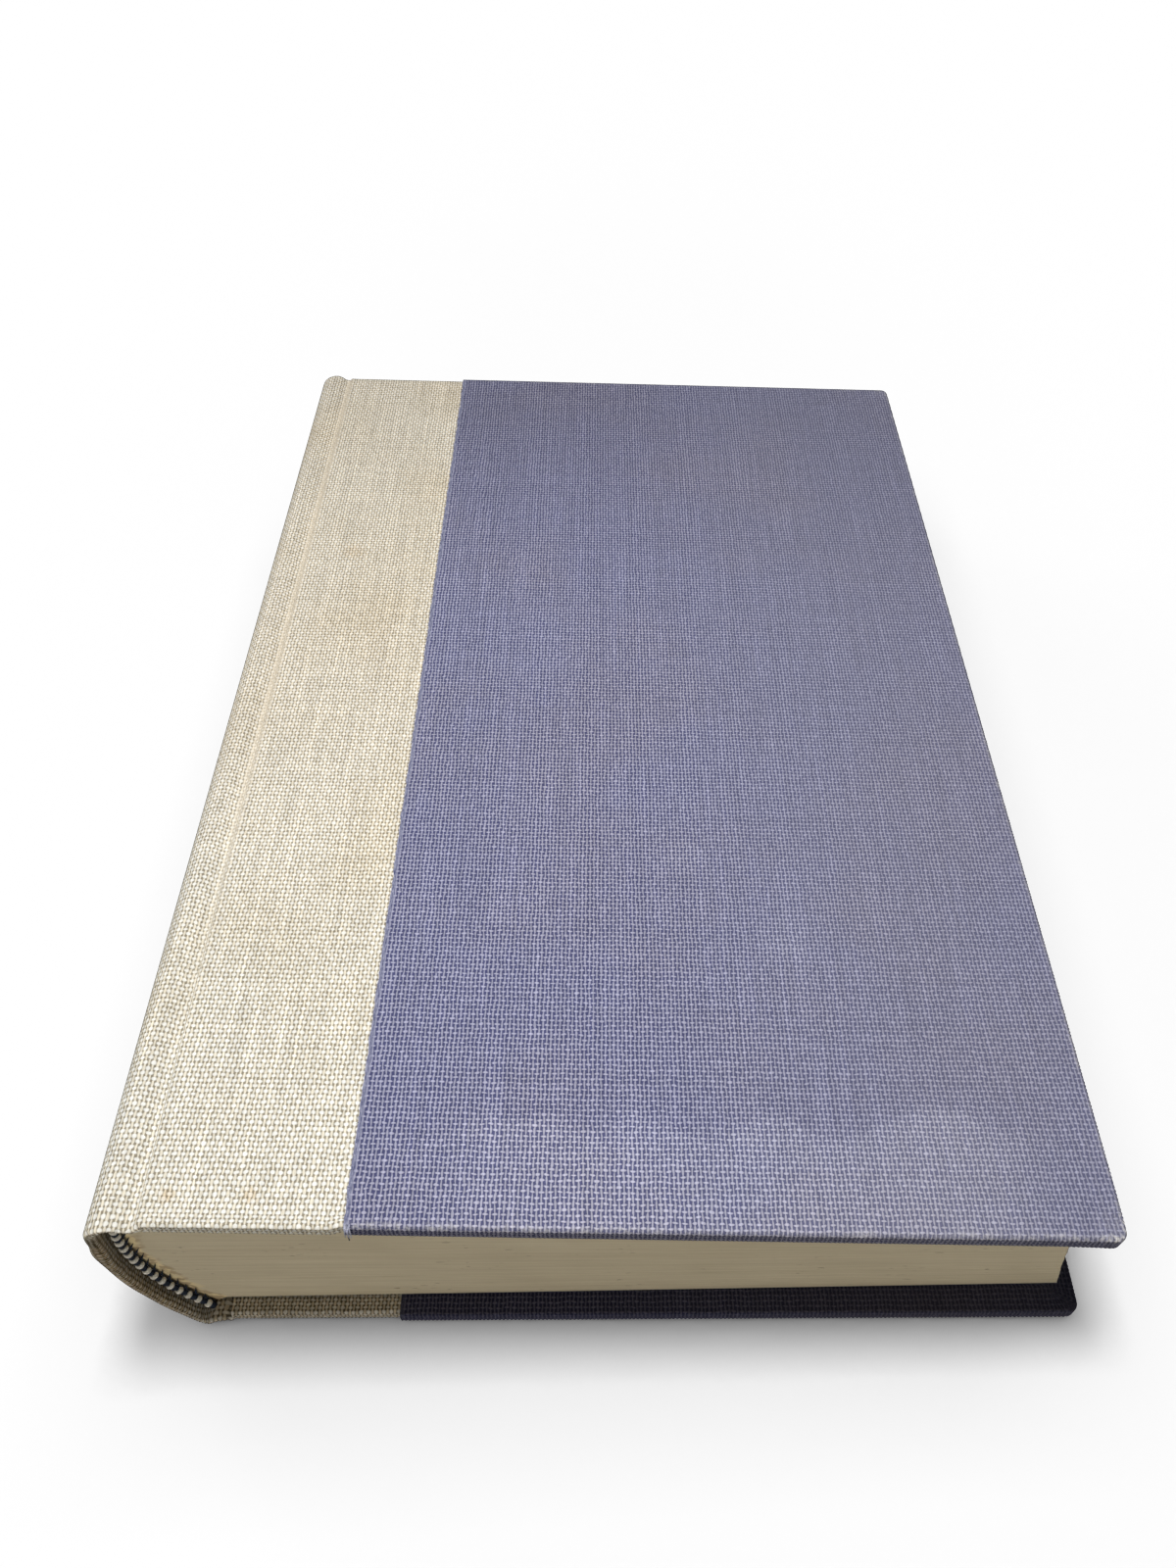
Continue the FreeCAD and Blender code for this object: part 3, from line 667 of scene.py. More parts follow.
# %% Folds at head and tail
FOLD_STEPS = 9
FOLD_CORNER = 0.62
UNDER_BLUE_THINNER, UNDER_BLUE_SETBACK = 0.3, 0.25  # so the linen's fold hides in the blue one
LOOSE_FOLD, SPINE_PROUD = 0.5, 1.1  # how far the loose fold stands out: on the board, on the spine


def fold_profile(depth):
    """How far the cloth is from the end (first) and below its outer face (second), round a fold."""
    radius = np.minimum(FOLD_CORNER, depth / 2)
    first_turn = np.linspace(0, math.pi / 2, FOLD_STEPS)
    second_turn = np.linspace(math.pi / 2, math.pi, FOLD_STEPS)
    back = np.concatenate([radius * (1 - np.sin(first_turn)), radius * (1 - np.sin(second_turn))])
    down = np.concatenate([radius * (1 - np.cos(first_turn)), depth - radius * (1 + np.cos(second_turn))])
    return back, down


def fold_depths(cover, points):
    """For each point: the fold's depth, its setback from the end, how near the joint's middle it is,
    and how far it stands out past the end. The board begins at u 0, and the spine is below u -8."""
    u = (points[:, :2] - cover.origin) @ cover.u_axis
    on_board = smooth_between(u, -1.4, 0.3)
    on_spine = 1 - smooth_between(u, -8.0, -3.6)
    depth = JOINT_FOLD_DEPTH + on_board * (TURN_IN_DEPTH - JOINT_FOLD_DEPTH)
    depth = depth + on_spine * (SPINE_FOLD_DEPTH - JOINT_FOLD_DEPTH)
    under_blue = smooth_between(u, BOUNDARY, BOUNDARY + 0.3)
    depth = depth - UNDER_BLUE_THINNER * under_blue
    setback = CLOTH * on_board + UNDER_BLUE_SETBACK * under_blue
    joint = np.exp(-((u + 3.6) / 2.6) ** 2)
    v = (points[:, :2] - cover.origin) @ cover.v_axis
    near_top = 1 - smooth_between(v, 2.0, 12.0)
    proud = LOOSE_FOLD * (1 - smooth_between(u, BOUNDARY - 2.5, BOUNDARY + 0.2))
    proud = (proud + (SPINE_PROUD - LOOSE_FOLD) * (1 - smooth_between(u, -7.0, -3.0))) * near_top
    return depth, setback, joint, proud if cover is FRONT else 0 * proud


section_depths = fold_depths(FRONT, section_points)[0]
print(f"folds are {section_depths.min():.2f} to {section_depths.max():.2f} mm deep")

# %% [markdown]
# The threads that go over the fold make a row of tiny bumps. They are real geometry here, because
# they show on the outline of the near edge. The tail of the spine has also been knocked a little out
# of its arc, from years of standing on a shelf. Head and tail are laid by the same function: it
# measures inwards from one end, and the head's rows are used in reverse.

# %% Spine cloth mesh
BUMP = 0.07
JOINT_SAG = 0.35
KNOCKS = ((173.0, 4.0, 0.6), (193.5, 4.0, -0.25))  # angle on the spine's arc, spread, and how far out
KNOCK_REACH = 22.0
TURN_IN_ROWS = (15.0, 9.0, 4.0)
FLAT_ROWS = (2.0, 4.0, 8.0, 20.0)
MIDDLE_ROWS, MIDDLE_START = 6, 40.0


def knocked_out(place):
    """How far a point of the section is pushed out at the tail."""
    from_centre = place - SPINE_CENTRE
    angle = np.degrees(np.arctan2(from_centre[:, 1], from_centre[:, 0])) % 360
    return sum(size * np.exp(-((angle - where) / spread) ** 2) for where, spread, size in KNOCKS)


def make_spine_half(cover):
    points, lengths = evenly(spine_section(cover), THREAD_STEP)
    place, inward = points[:, :2], points[:, 2:]
    inward = inward / np.linalg.norm(inward, axis=1)[:, None]
    knocked = knocked_out(place)
    depth, setback, joint, proud = fold_depths(cover, points)
    bump = BUMP * np.cos(2 * math.pi * lengths / LONG_PITCH)
    profiles = [fold_profile(d) for d in depth]
    back = np.array([profile[0] for profile in profiles])
    down = np.array([profile[1] for profile in profiles])
    strides = np.hypot(np.diff(back, axis=1), np.diff(down, axis=1))
    travelled = np.hstack([np.zeros((len(depth), 1)), np.cumsum(strides, axis=1)])
    on_face = np.zeros(len(lengths))
    rows, uvs = [], []

    def end_rows(stand_out):
        """One end's rows from the turn-in to the flat cloth: from the end, below the face, along."""
        found = [(y_in, depth, -(travelled[:, -1] + y_in)) for y_in in TURN_IN_ROWS]
        for step in reversed(range(back.shape[1])):
            swell = bump * math.sin(math.pi * step / (back.shape[1] - 1))
            from_end = setback + back[:, step] - JOINT_SAG * joint - swell - stand_out
            found.append((from_end, down[:, step], -travelled[:, step]))
        return found + [(y_in, on_face, y_in) for y_in in FLAT_ROWS]

    def add_row(y, below, along):
        near_tail = 1 - smooth_between(np.mean(y), TAIL + 2, TAIL + KNOCK_REACH)
        outer_face = np.clip(1 - below / depth, 0, 1)
        xz = place + inward * (below - knocked * near_tail * outer_face)[:, None]
        rows.append(np.column_stack([xz[:, 0], np.broadcast_to(y, lengths.shape), xz[:, 1]]))
        shift = BACK_UV_SHIFT if cover is BACK else 0.0
        uvs.append(np.column_stack([lengths + shift, np.broadcast_to(along, lengths.shape)]))

    for from_end, below, along in end_rows(proud):
        add_row(TAIL + from_end, below, along)
    for y in np.linspace(TAIL + MIDDLE_START, HEAD - MIDDLE_START, MIDDLE_ROWS):
        add_row(y, on_face, y - TAIL)
    for from_end, below, along in reversed(end_rows(0.0)):
        add_row(HEAD - from_end, below, HEAD - TAIL - along)
    faces = grid_faces(len(rows), len(lengths), flip=cover is BACK)
    return mesh_object(f"spine_cloth_{cover.side}_half", np.vstack(rows), faces, np.vstack(uvs), linen)


BLEND_REACH = 1.0
for cover in COVERS:
    half = make_spine_half(cover)
    start = cover.point(cover.hinge_u - BLEND_REACH, GROOVE_LEVEL, 0)
    end = cover.point(cover.hinge_u + BLEND_REACH, GROOVE_LEVEL, 0)
    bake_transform(half)
    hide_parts(cover.side + "_quarter_cloth", "spine_cloth")
    print(half.name, len(half.data.polygons), "faces")

# %% [markdown]
# ## The blue side cloths
# Each board has its own piece of blue cloth: its cut edge lies on the linen, and its three other
# edges are wrapped round the board and glued inside. The wrap is built from rings. Every ring is the
# board's outline moved inwards by some distance and down by some depth.

# %% Outline and wrap of the side cloths
EDGE_RADIUS = 0.75
INNER_RADIUS = 0.3
FLAT_INSET = 1.0      # the flat top face begins this far in from the rim
CORNER_RADIUS = 1.6
COVER_DEPTH = 3.1
TURN_IN = 15.0


def cover_outline():
    """Points round tail edge, fore-edge and head edge: u, y and the outward direction."""
    low_y, high_y = TAIL + CORNER_RADIUS, HEAD - CORNER_RADIUS
    far_u = COVER_WIDTH - CORNER_RADIUS
    corner_turn = np.linspace(-math.pi / 2, 0, 14)
    tail = [(u, TAIL, 0, -1) for u in np.arange(BOUNDARY, far_u, THREAD_STEP)]
    ways = [(math.cos(a), math.sin(a)) for a in corner_turn]
    near = [(far_u + CORNER_RADIUS * nu, low_y + CORNER_RADIUS * ny, nu, ny) for nu, ny in ways]
    fore = [(COVER_WIDTH, y, 1, 0) for y in np.arange(low_y + 0.3, high_y, 0.3)]
    far = [(u, -y, nu, -ny) for u, y, nu, ny in reversed(near)]
    head = [(u, HEAD, 0, 1) for u, *_ in reversed(tail)]
    far = [(u, y + HEAD + TAIL, nu, ny) for u, y, nu, ny in far]
    return np.array(tail + near + fore + far + head)


def wrap_profile():
    """Inset from the outline, depth below the outer face, and the cloth's length round the wrap."""
    outer = np.linspace(0, math.pi / 2, 7)
    inner = np.linspace(0, math.pi / 2, 5)
    inset = np.concatenate([[FLAT_INSET], EDGE_RADIUS * (1 - np.sin(outer)), [0],
                            INNER_RADIUS * (1 - np.cos(inner)), [4, TURN_IN]])
    depth = np.concatenate([[0], EDGE_RADIUS * (1 - np.cos(outer)), [1.8],
                            COVER_DEPTH - INNER_RADIUS * (1 - np.sin(inner)), [COVER_DEPTH] * 2])
    length = np.r_[0, np.cumsum(np.hypot(np.diff(inset), np.diff(depth)))]
    return inset, depth, length


print(f"the cloth is {wrap_profile()[2][-1]:.1f} mm long round the wrap")

# %% [markdown]
# The UV map lays the rings out flat, so the weave follows the cloth round the edge. The inner rings
# turn a square corner, and their points are held back there so that none of them cross. The front
# cover's worn tail corner droops a little. The cut edge on the linen wavers, and a low wall below it
# gives the cloth its thickness there.

# %% Side cloths
CORNER_DROOP, DROOP_REACH = 0.6, 9.0
BOUNDARY_SEEDS = {"front": 7, "back": 8}


def make_boundary(cover):
    """The cut edge on the linen, which wavers a little: its top edge, then its foot."""
    rng = np.random.default_rng(BOUNDARY_SEEDS[cover.side])
    ys = np.arange(TAIL + FLAT_INSET + 0.1, HEAD - FLAT_INSET - 0.1, 0.3)
    waver = np.convolve(rng.normal(0, 1, len(ys) + 8), np.hanning(9), "valid") * 0.035
    waver[:2] = waver[-2:] = 0
    u = BOUNDARY + waver + rng.normal(0, 0.03, len(ys))
    top = cover.xz(u, np.zeros(len(ys)))
    foot = cover.xz(u - 0.04, np.full(len(ys), CLOTH + 0.05))
    return np.vstack([np.column_stack([xz[:, 0], ys, xz[:, 1]]) for xz in (top, foot)])


def ring_of_wrap(cover, outline, inset, depth, swell):
    """One ring's points, moved in from the outline and down from the outer face."""
    edge, outward = outline[:, :2], outline[:, 2:]
    extra = max(inset - CORNER_RADIUS, 0)
    uy = edge - outward * min(inset, CORNER_RADIUS) - np.sign(np.round(outward, 6)) * extra
    if extra > 0:
        uy[:, 0] = np.minimum(uy[:, 0], COVER_WIDTH - CORNER_RADIUS - extra)
        uy[:, 1] = np.clip(uy[:, 1], TAIL + CORNER_RADIUS + extra, HEAD - CORNER_RADIUS - extra)
    uy = uy + outward * swell[:, None]
    from_corner = np.hypot(COVER_WIDTH - uy[:, 0], uy[:, 1] - TAIL)
    droop = CORNER_DROOP * np.clip(1 - from_corner / DROOP_REACH, 0, 1) ** 2 if cover is FRONT else 0
    droop = droop * (0.35 + 0.65 * depth / COVER_DEPTH)
    xz = cover.xz(uy[:, 0], depth + droop + np.zeros(len(uy)))
    return np.column_stack([xz[:, 0], uy[:, 1], xz[:, 1]])


def make_side_cloth(cover):
    outline = cover_outline()
    insets, depths, lengths = wrap_profile()
    edge, outward = outline[:, :2], outline[:, 2:]
    on_corner = (np.abs(outward) > 1e-6).all(axis=1)
    along = np.r_[0, np.cumsum(np.linalg.norm(np.diff(edge, axis=0), axis=1))]
    bump = np.where(on_corner, 0.0, BUMP * np.cos(2 * math.pi * along / BLUE_LONG_PITCH))
    uv_shift = BLUE_BACK_UV_SHIFT if cover is BACK else 0.0
    rows, uvs = [], []
    for ring, (inset, depth, length) in enumerate(zip(insets, depths, lengths)):
        share = np.sin(math.pi * np.clip((ring - 1) / 11, 0, 1))
        rows.append(ring_of_wrap(cover, outline, inset, depth, bump * share))
        laid_flat = edge - outward * FLAT_INSET + outward * length
        uvs.append(laid_flat + (0, uv_shift))
    count = len(outline)
    faces = grid_faces(len(rows), count, flip=cover is FRONT)
    boundary = make_boundary(cover)
    first, half = len(rows) * count, len(boundary) // 2
    uvs.append(np.column_stack([np.full(len(boundary), BOUNDARY), boundary[:, 1] + uv_shift]))
    top = list(range(count)) + list(range(first + half - 1, first - 1, -1))
    faces.append(tuple(top if cover is FRONT else reversed(top)))
    wall = grid_faces(2, half, first, flip=cover is FRONT)
    points = np.vstack(rows + [boundary])
    name = f"{cover.side}_side_cloth_wrap"
    wrap = mesh_object(name, points, faces + wall, np.vstack(uvs), blue_cloth)
    wrap.data.polygons[(len(rows) - 1) * (count - 1)].use_smooth = False
    return wrap


for cover in COVERS:
    wrap = make_side_cloth(cover)
    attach(wrap, cover.body)
    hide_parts(cover.side + "_side_cloth")
    print(wrap.name, len(wrap.data.polygons), "faces")

# %% [markdown]
# ## The pages
# The block of pages was sewn in gatherings, rounded, and hammered outwards at the spine, so the outer
# leaves fan towards the boards there. It is also thicker at the spine than at the fore-edge. Every
# gathering is set a hair in or out, because a real trimmed edge is never quite flat.

# %% Leaf levels
BLOCK_LEVEL = 3.5     # the block's face lies this far below the cover's outer face
BLOCK_RADIUS = SPINE_RADIUS - 3.0
TAIL_SQUARE, TAIL_SKEW, HEAD_SQUARE = 3.1, 1.4 / 137.6, 3.0
GATHERINGS = 25
PLACES_IN_GATHERING = (0.03, 0.10, 0.5, 0.90, 0.97)
GATHERING_DIP = 0.035  # at the gap between two gatherings


def face_height(cover, x):
    """z of the block's face on one side, at a given x."""
    (x0, z0), (x1, z1) = cover.xz(0, BLOCK_LEVEL), cover.xz(100, BLOCK_LEVEL)
    return z0 + (x - x0) * (z1 - z0) / (x1 - x0)


def tail_edge(x):
    return TAIL + TAIL_SQUARE + TAIL_SKEW * (x - BACK.origin[0])


def page_levels():
    """Each leaf level's share of the thickness, and how far its gathering is set out."""
    rng = np.random.default_rng(21)
    shares, tail_set, fore_set, head_set = [], [], [], []
    for gathering in range(GATHERINGS):
        offsets = rng.normal(0, (0.030, 0.035, 0.030))
        for part in PLACES_IN_GATHERING:
            shares.append((gathering + part) / GATHERINGS)
            dip = GATHERING_DIP if part in (PLACES_IN_GATHERING[0], PLACES_IN_GATHERING[-1]) else 0.0
            wobble = rng.normal(0, 0.008, 3)
            tail_set.append(offsets[0] + wobble[0] + dip)
            fore_set.append(offsets[1] + wobble[1] + dip)
            head_set.append(offsets[2] + wobble[2] + dip)
    shares[0], shares[-1] = 0.0, 1.0
    return (np.array(values) for values in (shares, tail_set, fore_set, head_set))


print(GATHERINGS, "gatherings, with", len(PLACES_IN_GATHERING), "levels each")

# %% [markdown]
# Each leaf level is a line from the spine's arc to the fore-edge, and the levels fan between the two
# boards. Close to the spine they bend towards the boards, because the block was backed. The block is
# six grids of points: tail, head, fore-edge, spine and the two faces. Each has a place of its own in
# the UV map.

# %% Page block
BACKING = 1.6
BACKED_SHARE = 0.12    # of the thickness, at either face
FORE_U = {"back": 137.6, "front": 135.8}
FORE_HOLLOW = 0.4
BLOCK_THICKNESS = 38.4
NEAR_SPINE = (0, 0.3, 0.6, 0.9, 1.2, 1.6, 2.0, 2.5, 3.0, 3.6, 4.5, 6.0, 8.0, 11.0, 15.0, 20.0)
UV_HEAD_SHIFT = 60.0
UV_FORE_EDGE, UV_SPINE, UV_FACES = (300.0, 516.0), (600.0, 816.0), (900.0, 1116.0)  # tail to head


def leaf_points():
    """Points of every leaf level at tail and head, their distance from the spine and their height."""
    shares, tail_set, fore_set, head_set = page_levels()
    near_back = (1 - np.clip(shares / BACKED_SHARE, 0, 1)) ** 2
    near_front = (1 - np.clip((1 - shares) / BACKED_SHARE, 0, 1)) ** 2
    spine_x = SPINE_CENTRE[0] - BLOCK_RADIUS + 2.5
    middle = (1 - shares) * face_height(BACK, spine_x) + shares * face_height(FRONT, spine_x)
    start_z = middle + BACKING * (near_front - near_back)
    start_x = SPINE_CENTRE[0] - np.sqrt(BLOCK_RADIUS ** 2 - (start_z - SPINE_CENTRE[1]) ** 2)
    corner_back, corner_front = BACK.xz(FORE_U["back"], 0)[0], FRONT.xz(FORE_U["front"], BLOCK_LEVEL)[0]
    end_x = (1 - shares) * corner_back + shares * corner_front
    end_x = end_x - FORE_HOLLOW * (1 - (2 * shares - 1) ** 2) - fore_set
    near_spine = np.array(NEAR_SPINE)
    away = np.linspace(0, 1, 24)[1:]
    reach = (end_x - start_x)[:, None]
    distance = np.hstack([np.broadcast_to(near_spine, (len(shares), len(near_spine))),
                          near_spine[-1] + (reach - near_spine[-1]) * away])
    x = start_x[:, None] + distance
    flat = (1 - shares[:, None]) * face_height(BACK, x) + shares[:, None] * face_height(FRONT, x)
    bend = 1 - smooth_between(distance, 0.2, 3.2)
    z = flat + (start_z - middle)[:, None] * bend
    tail_y = tail_edge(x) + tail_set[:, None]
    head_y = np.full_like(x, HEAD - HEAD_SQUARE) - head_set[:, None]
    height = shares[:, None] * BLOCK_THICKNESS + np.zeros_like(x)
    tail = np.stack([x, tail_y, z], -1)
    head = np.stack([x, head_y, z], -1)
    return tail, head, distance, height


def make_pages():
    tail, head, distance, height = leaf_points()

    def upright(column, spread, flip):
        """The fore-edge or the spine: one column of the tail joined with the same one of the head."""
        grid = np.stack([tail[:, column], head[:, column]], 1)
        return grid, np.array([spread]) + 0 * height[:, :2], height[:, :2], flip

    def face(row, flip):
        grid = np.stack([tail[row], head[row]], 0)
        return grid, np.stack([distance[row]] * 2), np.array(UV_FACES)[:, None] + 0 * distance[:2], flip

    blocks = [
        (tail, distance, height, True),
        (head, distance, height + UV_HEAD_SHIFT, False),
        upright(-1, UV_FORE_EDGE, True),
        upright(0, UV_SPINE, False),
        face(0, True),
        face(-1, False),
    ]
    points, uvs, faces = [], [], []
    total = 0
    for grid, u, v, flip in blocks:
        rows, columns = grid.shape[:2]
        points.append(grid.reshape(-1, 3))
        uvs.append(np.column_stack([u.ravel(), v.ravel()]))
        faces += grid_faces(rows, columns, total, flip)
        total += rows * columns
    return mesh_object("page_block", np.vstack(points), faces, np.vstack(uvs), page_edges)


print("points of a leaf level from spine to fore-edge:", leaf_points()[0].shape[1])

# %% [markdown]
# The cut edges show faint streaks that run with the leaves, a few specks, and a yellowish stain where
# glue soaked in beside the endband. The UV map counts millimetres from the spine and through the
# thickness, so streaks stay along the leaves and the stain stays at the spine.

# %% Page material
STAIN_EDGE = 6.3      # mm from the spine
STAIN_RAGGED = 7.6    # how far the stain's edge wanders


def make_page_material():
    material, nodes, shader = new_material("page_edges", 0.8, 0.1)
    uv = nodes.add("ShaderNodeUVMap").outputs[0]
    streaks = nodes.noise(nodes.scaled(uv, (25, 2600, 1)), 1.0, 4.0, 0.7)
    bands = nodes.noise(nodes.scaled(uv, (6, 420, 1)), 1.0, 2.0)
    broad = nodes.noise(uv, 60.0, 2.0)
    paper = nodes.mix(nodes.steps(streaks, 0.36, 0.66), linear(212, 199, 171), linear(226, 214, 187))
    paper = nodes.mix(nodes.steps(bands, 0.50, 0.78, 0.0, 0.20), paper, linear(190, 174, 144))
    paper = nodes.mix(nodes.steps(broad, 0.45, 0.8, 0.0, 0.25), paper, linear(190, 178, 150))
    specks = nodes.noise(nodes.scaled(uv, (420, 1500, 1)), 1.0, 1.0)
    rare = nodes.noise(nodes.scaled(uv, (90, 160, 1), (5, 3, 0)), 1.0, 1.0)
    speck = nodes.product(nodes.steps(specks, 0.66, 0.74), nodes.steps(rare, 0.54, 0.64), 0.6)
    paper = nodes.mix(speck, paper, linear(120, 96, 66))
    parts = nodes.add("ShaderNodeSeparateXYZ", {0: uv})
    ragged = nodes.product(nodes.noise(uv, 260.0, 3.0), STAIN_RAGGED * MM)
    edge = nodes.math("SUBTRACT", nodes.math("ADD", parts.outputs[0], ragged), STAIN_EDGE * MM)
    stain = nodes.steps_mm(edge, -1.0, 0.6, 1.0, 0.0)
    blotch = nodes.steps(nodes.noise(uv, 520.0, 2.0), 0.42, 0.56)
    glue = nodes.mix(blotch, linear(178, 150, 112), linear(248, 226, 172))
    paper = nodes.mix(nodes.product(stain, 0.7), paper, glue)
    height = nodes.math("ADD", streaks, nodes.product(nodes.noise(uv, 3000.0, 2.0), 0.4))
    bump = nodes.add("ShaderNodeBump", {"Strength": 0.35, "Distance": 0.00008, "Height": height})
    nodes.feed(shader.inputs["Base Color"], paper)
    nodes.feed(shader.inputs["Normal"], bump.outputs[0])
    return material


page_edges = make_page_material()
pages = make_pages()
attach(pages, "book_block")
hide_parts("text_block")
print(pages.name, len(pages.data.polygons), "faces")

# %% [markdown]
# ## Endbands
# A striped band of thread sits at each end of the spine: a core cord, wound by turns with white and
# navy thread, and a ribbon glued to the spine. Each turn leans over, because the thread runs round
# the core in a spiral. On the side of the pages the navy thread makes a chain along the cord, and
# at every navy turn a slim tooth leaves it and leans towards the front cover.

# %% Endband materials


def thread_material(name, colour, dark):
    material, nodes, shader = new_material(name, 0.75, 0.2)
    place = nodes.add("ShaderNodeTexCoord").outputs["Object"]
    strands = nodes.noise(place, 5200.0, 3.0)
    tone = nodes.mix(nodes.steps(strands, 0.35, 0.65), dark, colour)
    bump = nodes.add("ShaderNodeBump", {"Strength": 0.5, "Distance": 0.0001, "Height": strands})
    nodes.feed(shader.inputs["Base Color"], tone)
    nodes.feed(shader.inputs["Normal"], bump.outputs[0])
    return material


white_thread = thread_material("white_thread", linear(250, 248, 240), linear(218, 214, 202))
navy_thread = thread_material("navy_thread", linear(38, 48, 64), linear(12, 17, 25))
THREADS = (white_thread, navy_thread)
WHITE, NAVY = 0, 1
print("threads:", [thread.name for thread in THREADS])

# %% [markdown]
# Everything in an endband is a tube: cord, chain, turns and teeth. A place on it is an angle about
# the spine's centre. From there one direction runs along the cord, one away from the centre and one
# endwards, out of the book.

# %% Tubes along the spine
BEAD_RADIUS = 0.62
STITCH_PITCH = 1.25
CHAIN_TURN = math.radians(206)  # where the chain lies round the cord, from the spine's side


def spine_angle(cover):
    joint_width, radius = SHOULDERS[cover.side]
    across = cover.xz(-joint_width, SHOULDER_TOP + radius) - SPINE_CENTRE
    return math.atan2(across[1], across[0]) % (2 * math.pi)


def sausage(centres, radii, axes, sides=8):
    """A closed tube through some points. axes are the two directions of each ring."""
    points, faces = [], []
    around = np.linspace(0, 2 * math.pi, sides, endpoint=False)
    for centre, radius, (first, second) in zip(centres, radii, axes):
        for angle in around:
            points.append(centre + radius * (math.cos(angle) * first + math.sin(angle) * second))
    rings = len(centres)
    for ring in range(rings - 1):
        for side in range(sides):
            following = (side + 1) % sides
            low, high = ring * sides, (ring + 1) * sides
            faces.append((low + side, low + following, high + following, high + side))
    faces.append(tuple(reversed(range(sides))))
    faces.append(tuple(range((rings - 1) * sides, rings * sides)))
    return np.array(points), faces


def band_point(angle, out, y):
    """A point by its angle about the spine's centre and its distance outside the pages' arc."""
    x, z = SPINE_CENTRE + (BLOCK_RADIUS + out) * np.array([math.cos(angle), math.sin(angle)])
    return np.array([x, y, z])


def ring_ways(angle, outwards):
    """The three directions at one place of the cord: along it, away from the spine's centre, endwards."""
    tangent = np.array([-math.sin(angle), 0, math.cos(angle)])
    radial = np.array([math.cos(angle), 0, math.sin(angle)])
    return tangent, radial, np.array([0, outwards, 0])


def turned_way(angle, outwards, turn):
    """The direction away from the cord's middle after some turn from the spine's side over the end."""
    _, radial, end_way = ring_ways(angle, outwards)
    return radial * math.cos(turn) + end_way * math.sin(turn)


def tube_along(path, radius, angles, sides=8):
    """A tube that follows the spine's arc, with one point for each angle."""
    axes = [(ring_ways(angle, 1)[1], np.array([0, 1, 0])) for angle in angles]
    return sausage(path, [radius] * len(angles), axes, sides)


band_arc = math.degrees(spine_angle(BACK) - spine_angle(FRONT))
print(f"the endbands run over {band_arc:.1f} degrees of the spine")

# %% [markdown]
# A turn of thread starts on the spine's side, goes over the cord and ends on the pages. Hand-tied
# turns are never equal, so width, reach and place vary a little. A tooth is thickest near the chain
# and ends in a point.

# %% Turns and teeth
STITCH_START = -80      # degrees round the cord, where 0 faces the spine and 90 the open end
STITCH_STEPS = 12
STITCH_LEAN = 0.35      # how far a turn of thread runs along the cord
STITCH_SINK = 0.16      # a turn's middle lies this far under the bead's face
STITCH_THICKNESS = 0.28
CHAIN_RADIUS = 0.11
TOOTH_LENGTH = 1.9
TOOTH_RADII = (0.14, 0.17, 0.16, 0.13, 0.08, 0.02)


def make_stitch(angle, bead_y, outwards, reach, width, stand, rng):
    """One turn of thread round the cord, from the spine side over the end and down to the pages."""
    tangent = ring_ways(angle, outwards)[0]
    turns = np.linspace(math.radians(STITCH_START), math.radians(reach), STITCH_STEPS)
    from_middle = BEAD_RADIUS - STITCH_SINK + stand
    centres, radii, axes = [], [], []
    for step, turn in enumerate(turns):
        share = step / (len(turns) - 1)
        out_way = turned_way(angle, outwards, turn)
        slide = STITCH_LEAN * (0.5 - share)
        centres.append(band_point(angle, 0, bead_y) + out_way * from_middle + tangent * slide)
        tip = 0.8 if step in (0, len(turns) - 1) else 1.0
        radii.append(width * tip * rng.uniform(0.95, 1.05))
        axes.append((out_way * STITCH_THICKNESS / width, tangent))
    return sausage(centres, radii, axes)


def make_tooth(angle, bead_y, end_y, outwards, rng):
    """A slim spike of navy thread that leaves the chain and lies on the pages."""
    tangent, radial, end_way = ring_ways(angle, outwards)
    foot = band_point(angle, 0, bead_y) + turned_way(angle, outwards, CHAIN_TURN) * (BEAD_RADIUS + 0.05)
    way = -radial - tangent * rng.uniform(1.5, 2.1)
    way = way / np.linalg.norm(way)
    tip = foot + way * TOOTH_LENGTH * rng.uniform(0.75, 1.2)
    tip[1] = end_y + outwards * 0.05
    centres = []
    for share in np.linspace(0, 1, len(TOOTH_RADII)):
        arch = end_way * 0.12 * math.sin(math.pi * share)
        centres.append(foot + (tip - foot) * share + arch)
    across = np.cross(way, end_way)
    return sausage(centres, TOOTH_RADII, [(end_way * 0.8, across)] * len(TOOTH_RADII), 6)


def make_chain(angles, bead_y, outwards):
    path = []
    for number, angle in enumerate(angles):
        wave = BEAD_RADIUS + 0.02 + 0.05 * math.sin(number * 1.4)
        path.append(band_point(angle, 0, bead_y) + turned_way(angle, outwards, CHAIN_TURN) * wave)
    return tube_along(path, CHAIN_RADIUS, angles, 6)


sample_stitch = make_stitch(math.pi, 0, -1, 195, 0.5, 0, np.random.default_rng(1))
print("one turn of thread:", len(sample_stitch[1]), "faces")

# %% [markdown]
# White and navy turns alternate along the cord. White ones are a little wider and stand proud, while
# navy ones sit deeper. The thread is fastened off at the back shoulder, where a last, thicker navy
# turn lies.

# %% Endbands
BAND_WIDTH = 9.0
BAND_SEEDS = {-1: 5, 1: 6}
STITCH_REACH = ((194, 202), (188, 198))         # degrees round the cord, white and navy
STITCH_WIDTH = ((0.51, 0.56), (0.50, 0.55))
STITCH_STAND = (0.06, -0.08)
LAST_REACH, LAST_WIDTH, LAST_PLACE = 195, 0.75, 0.45


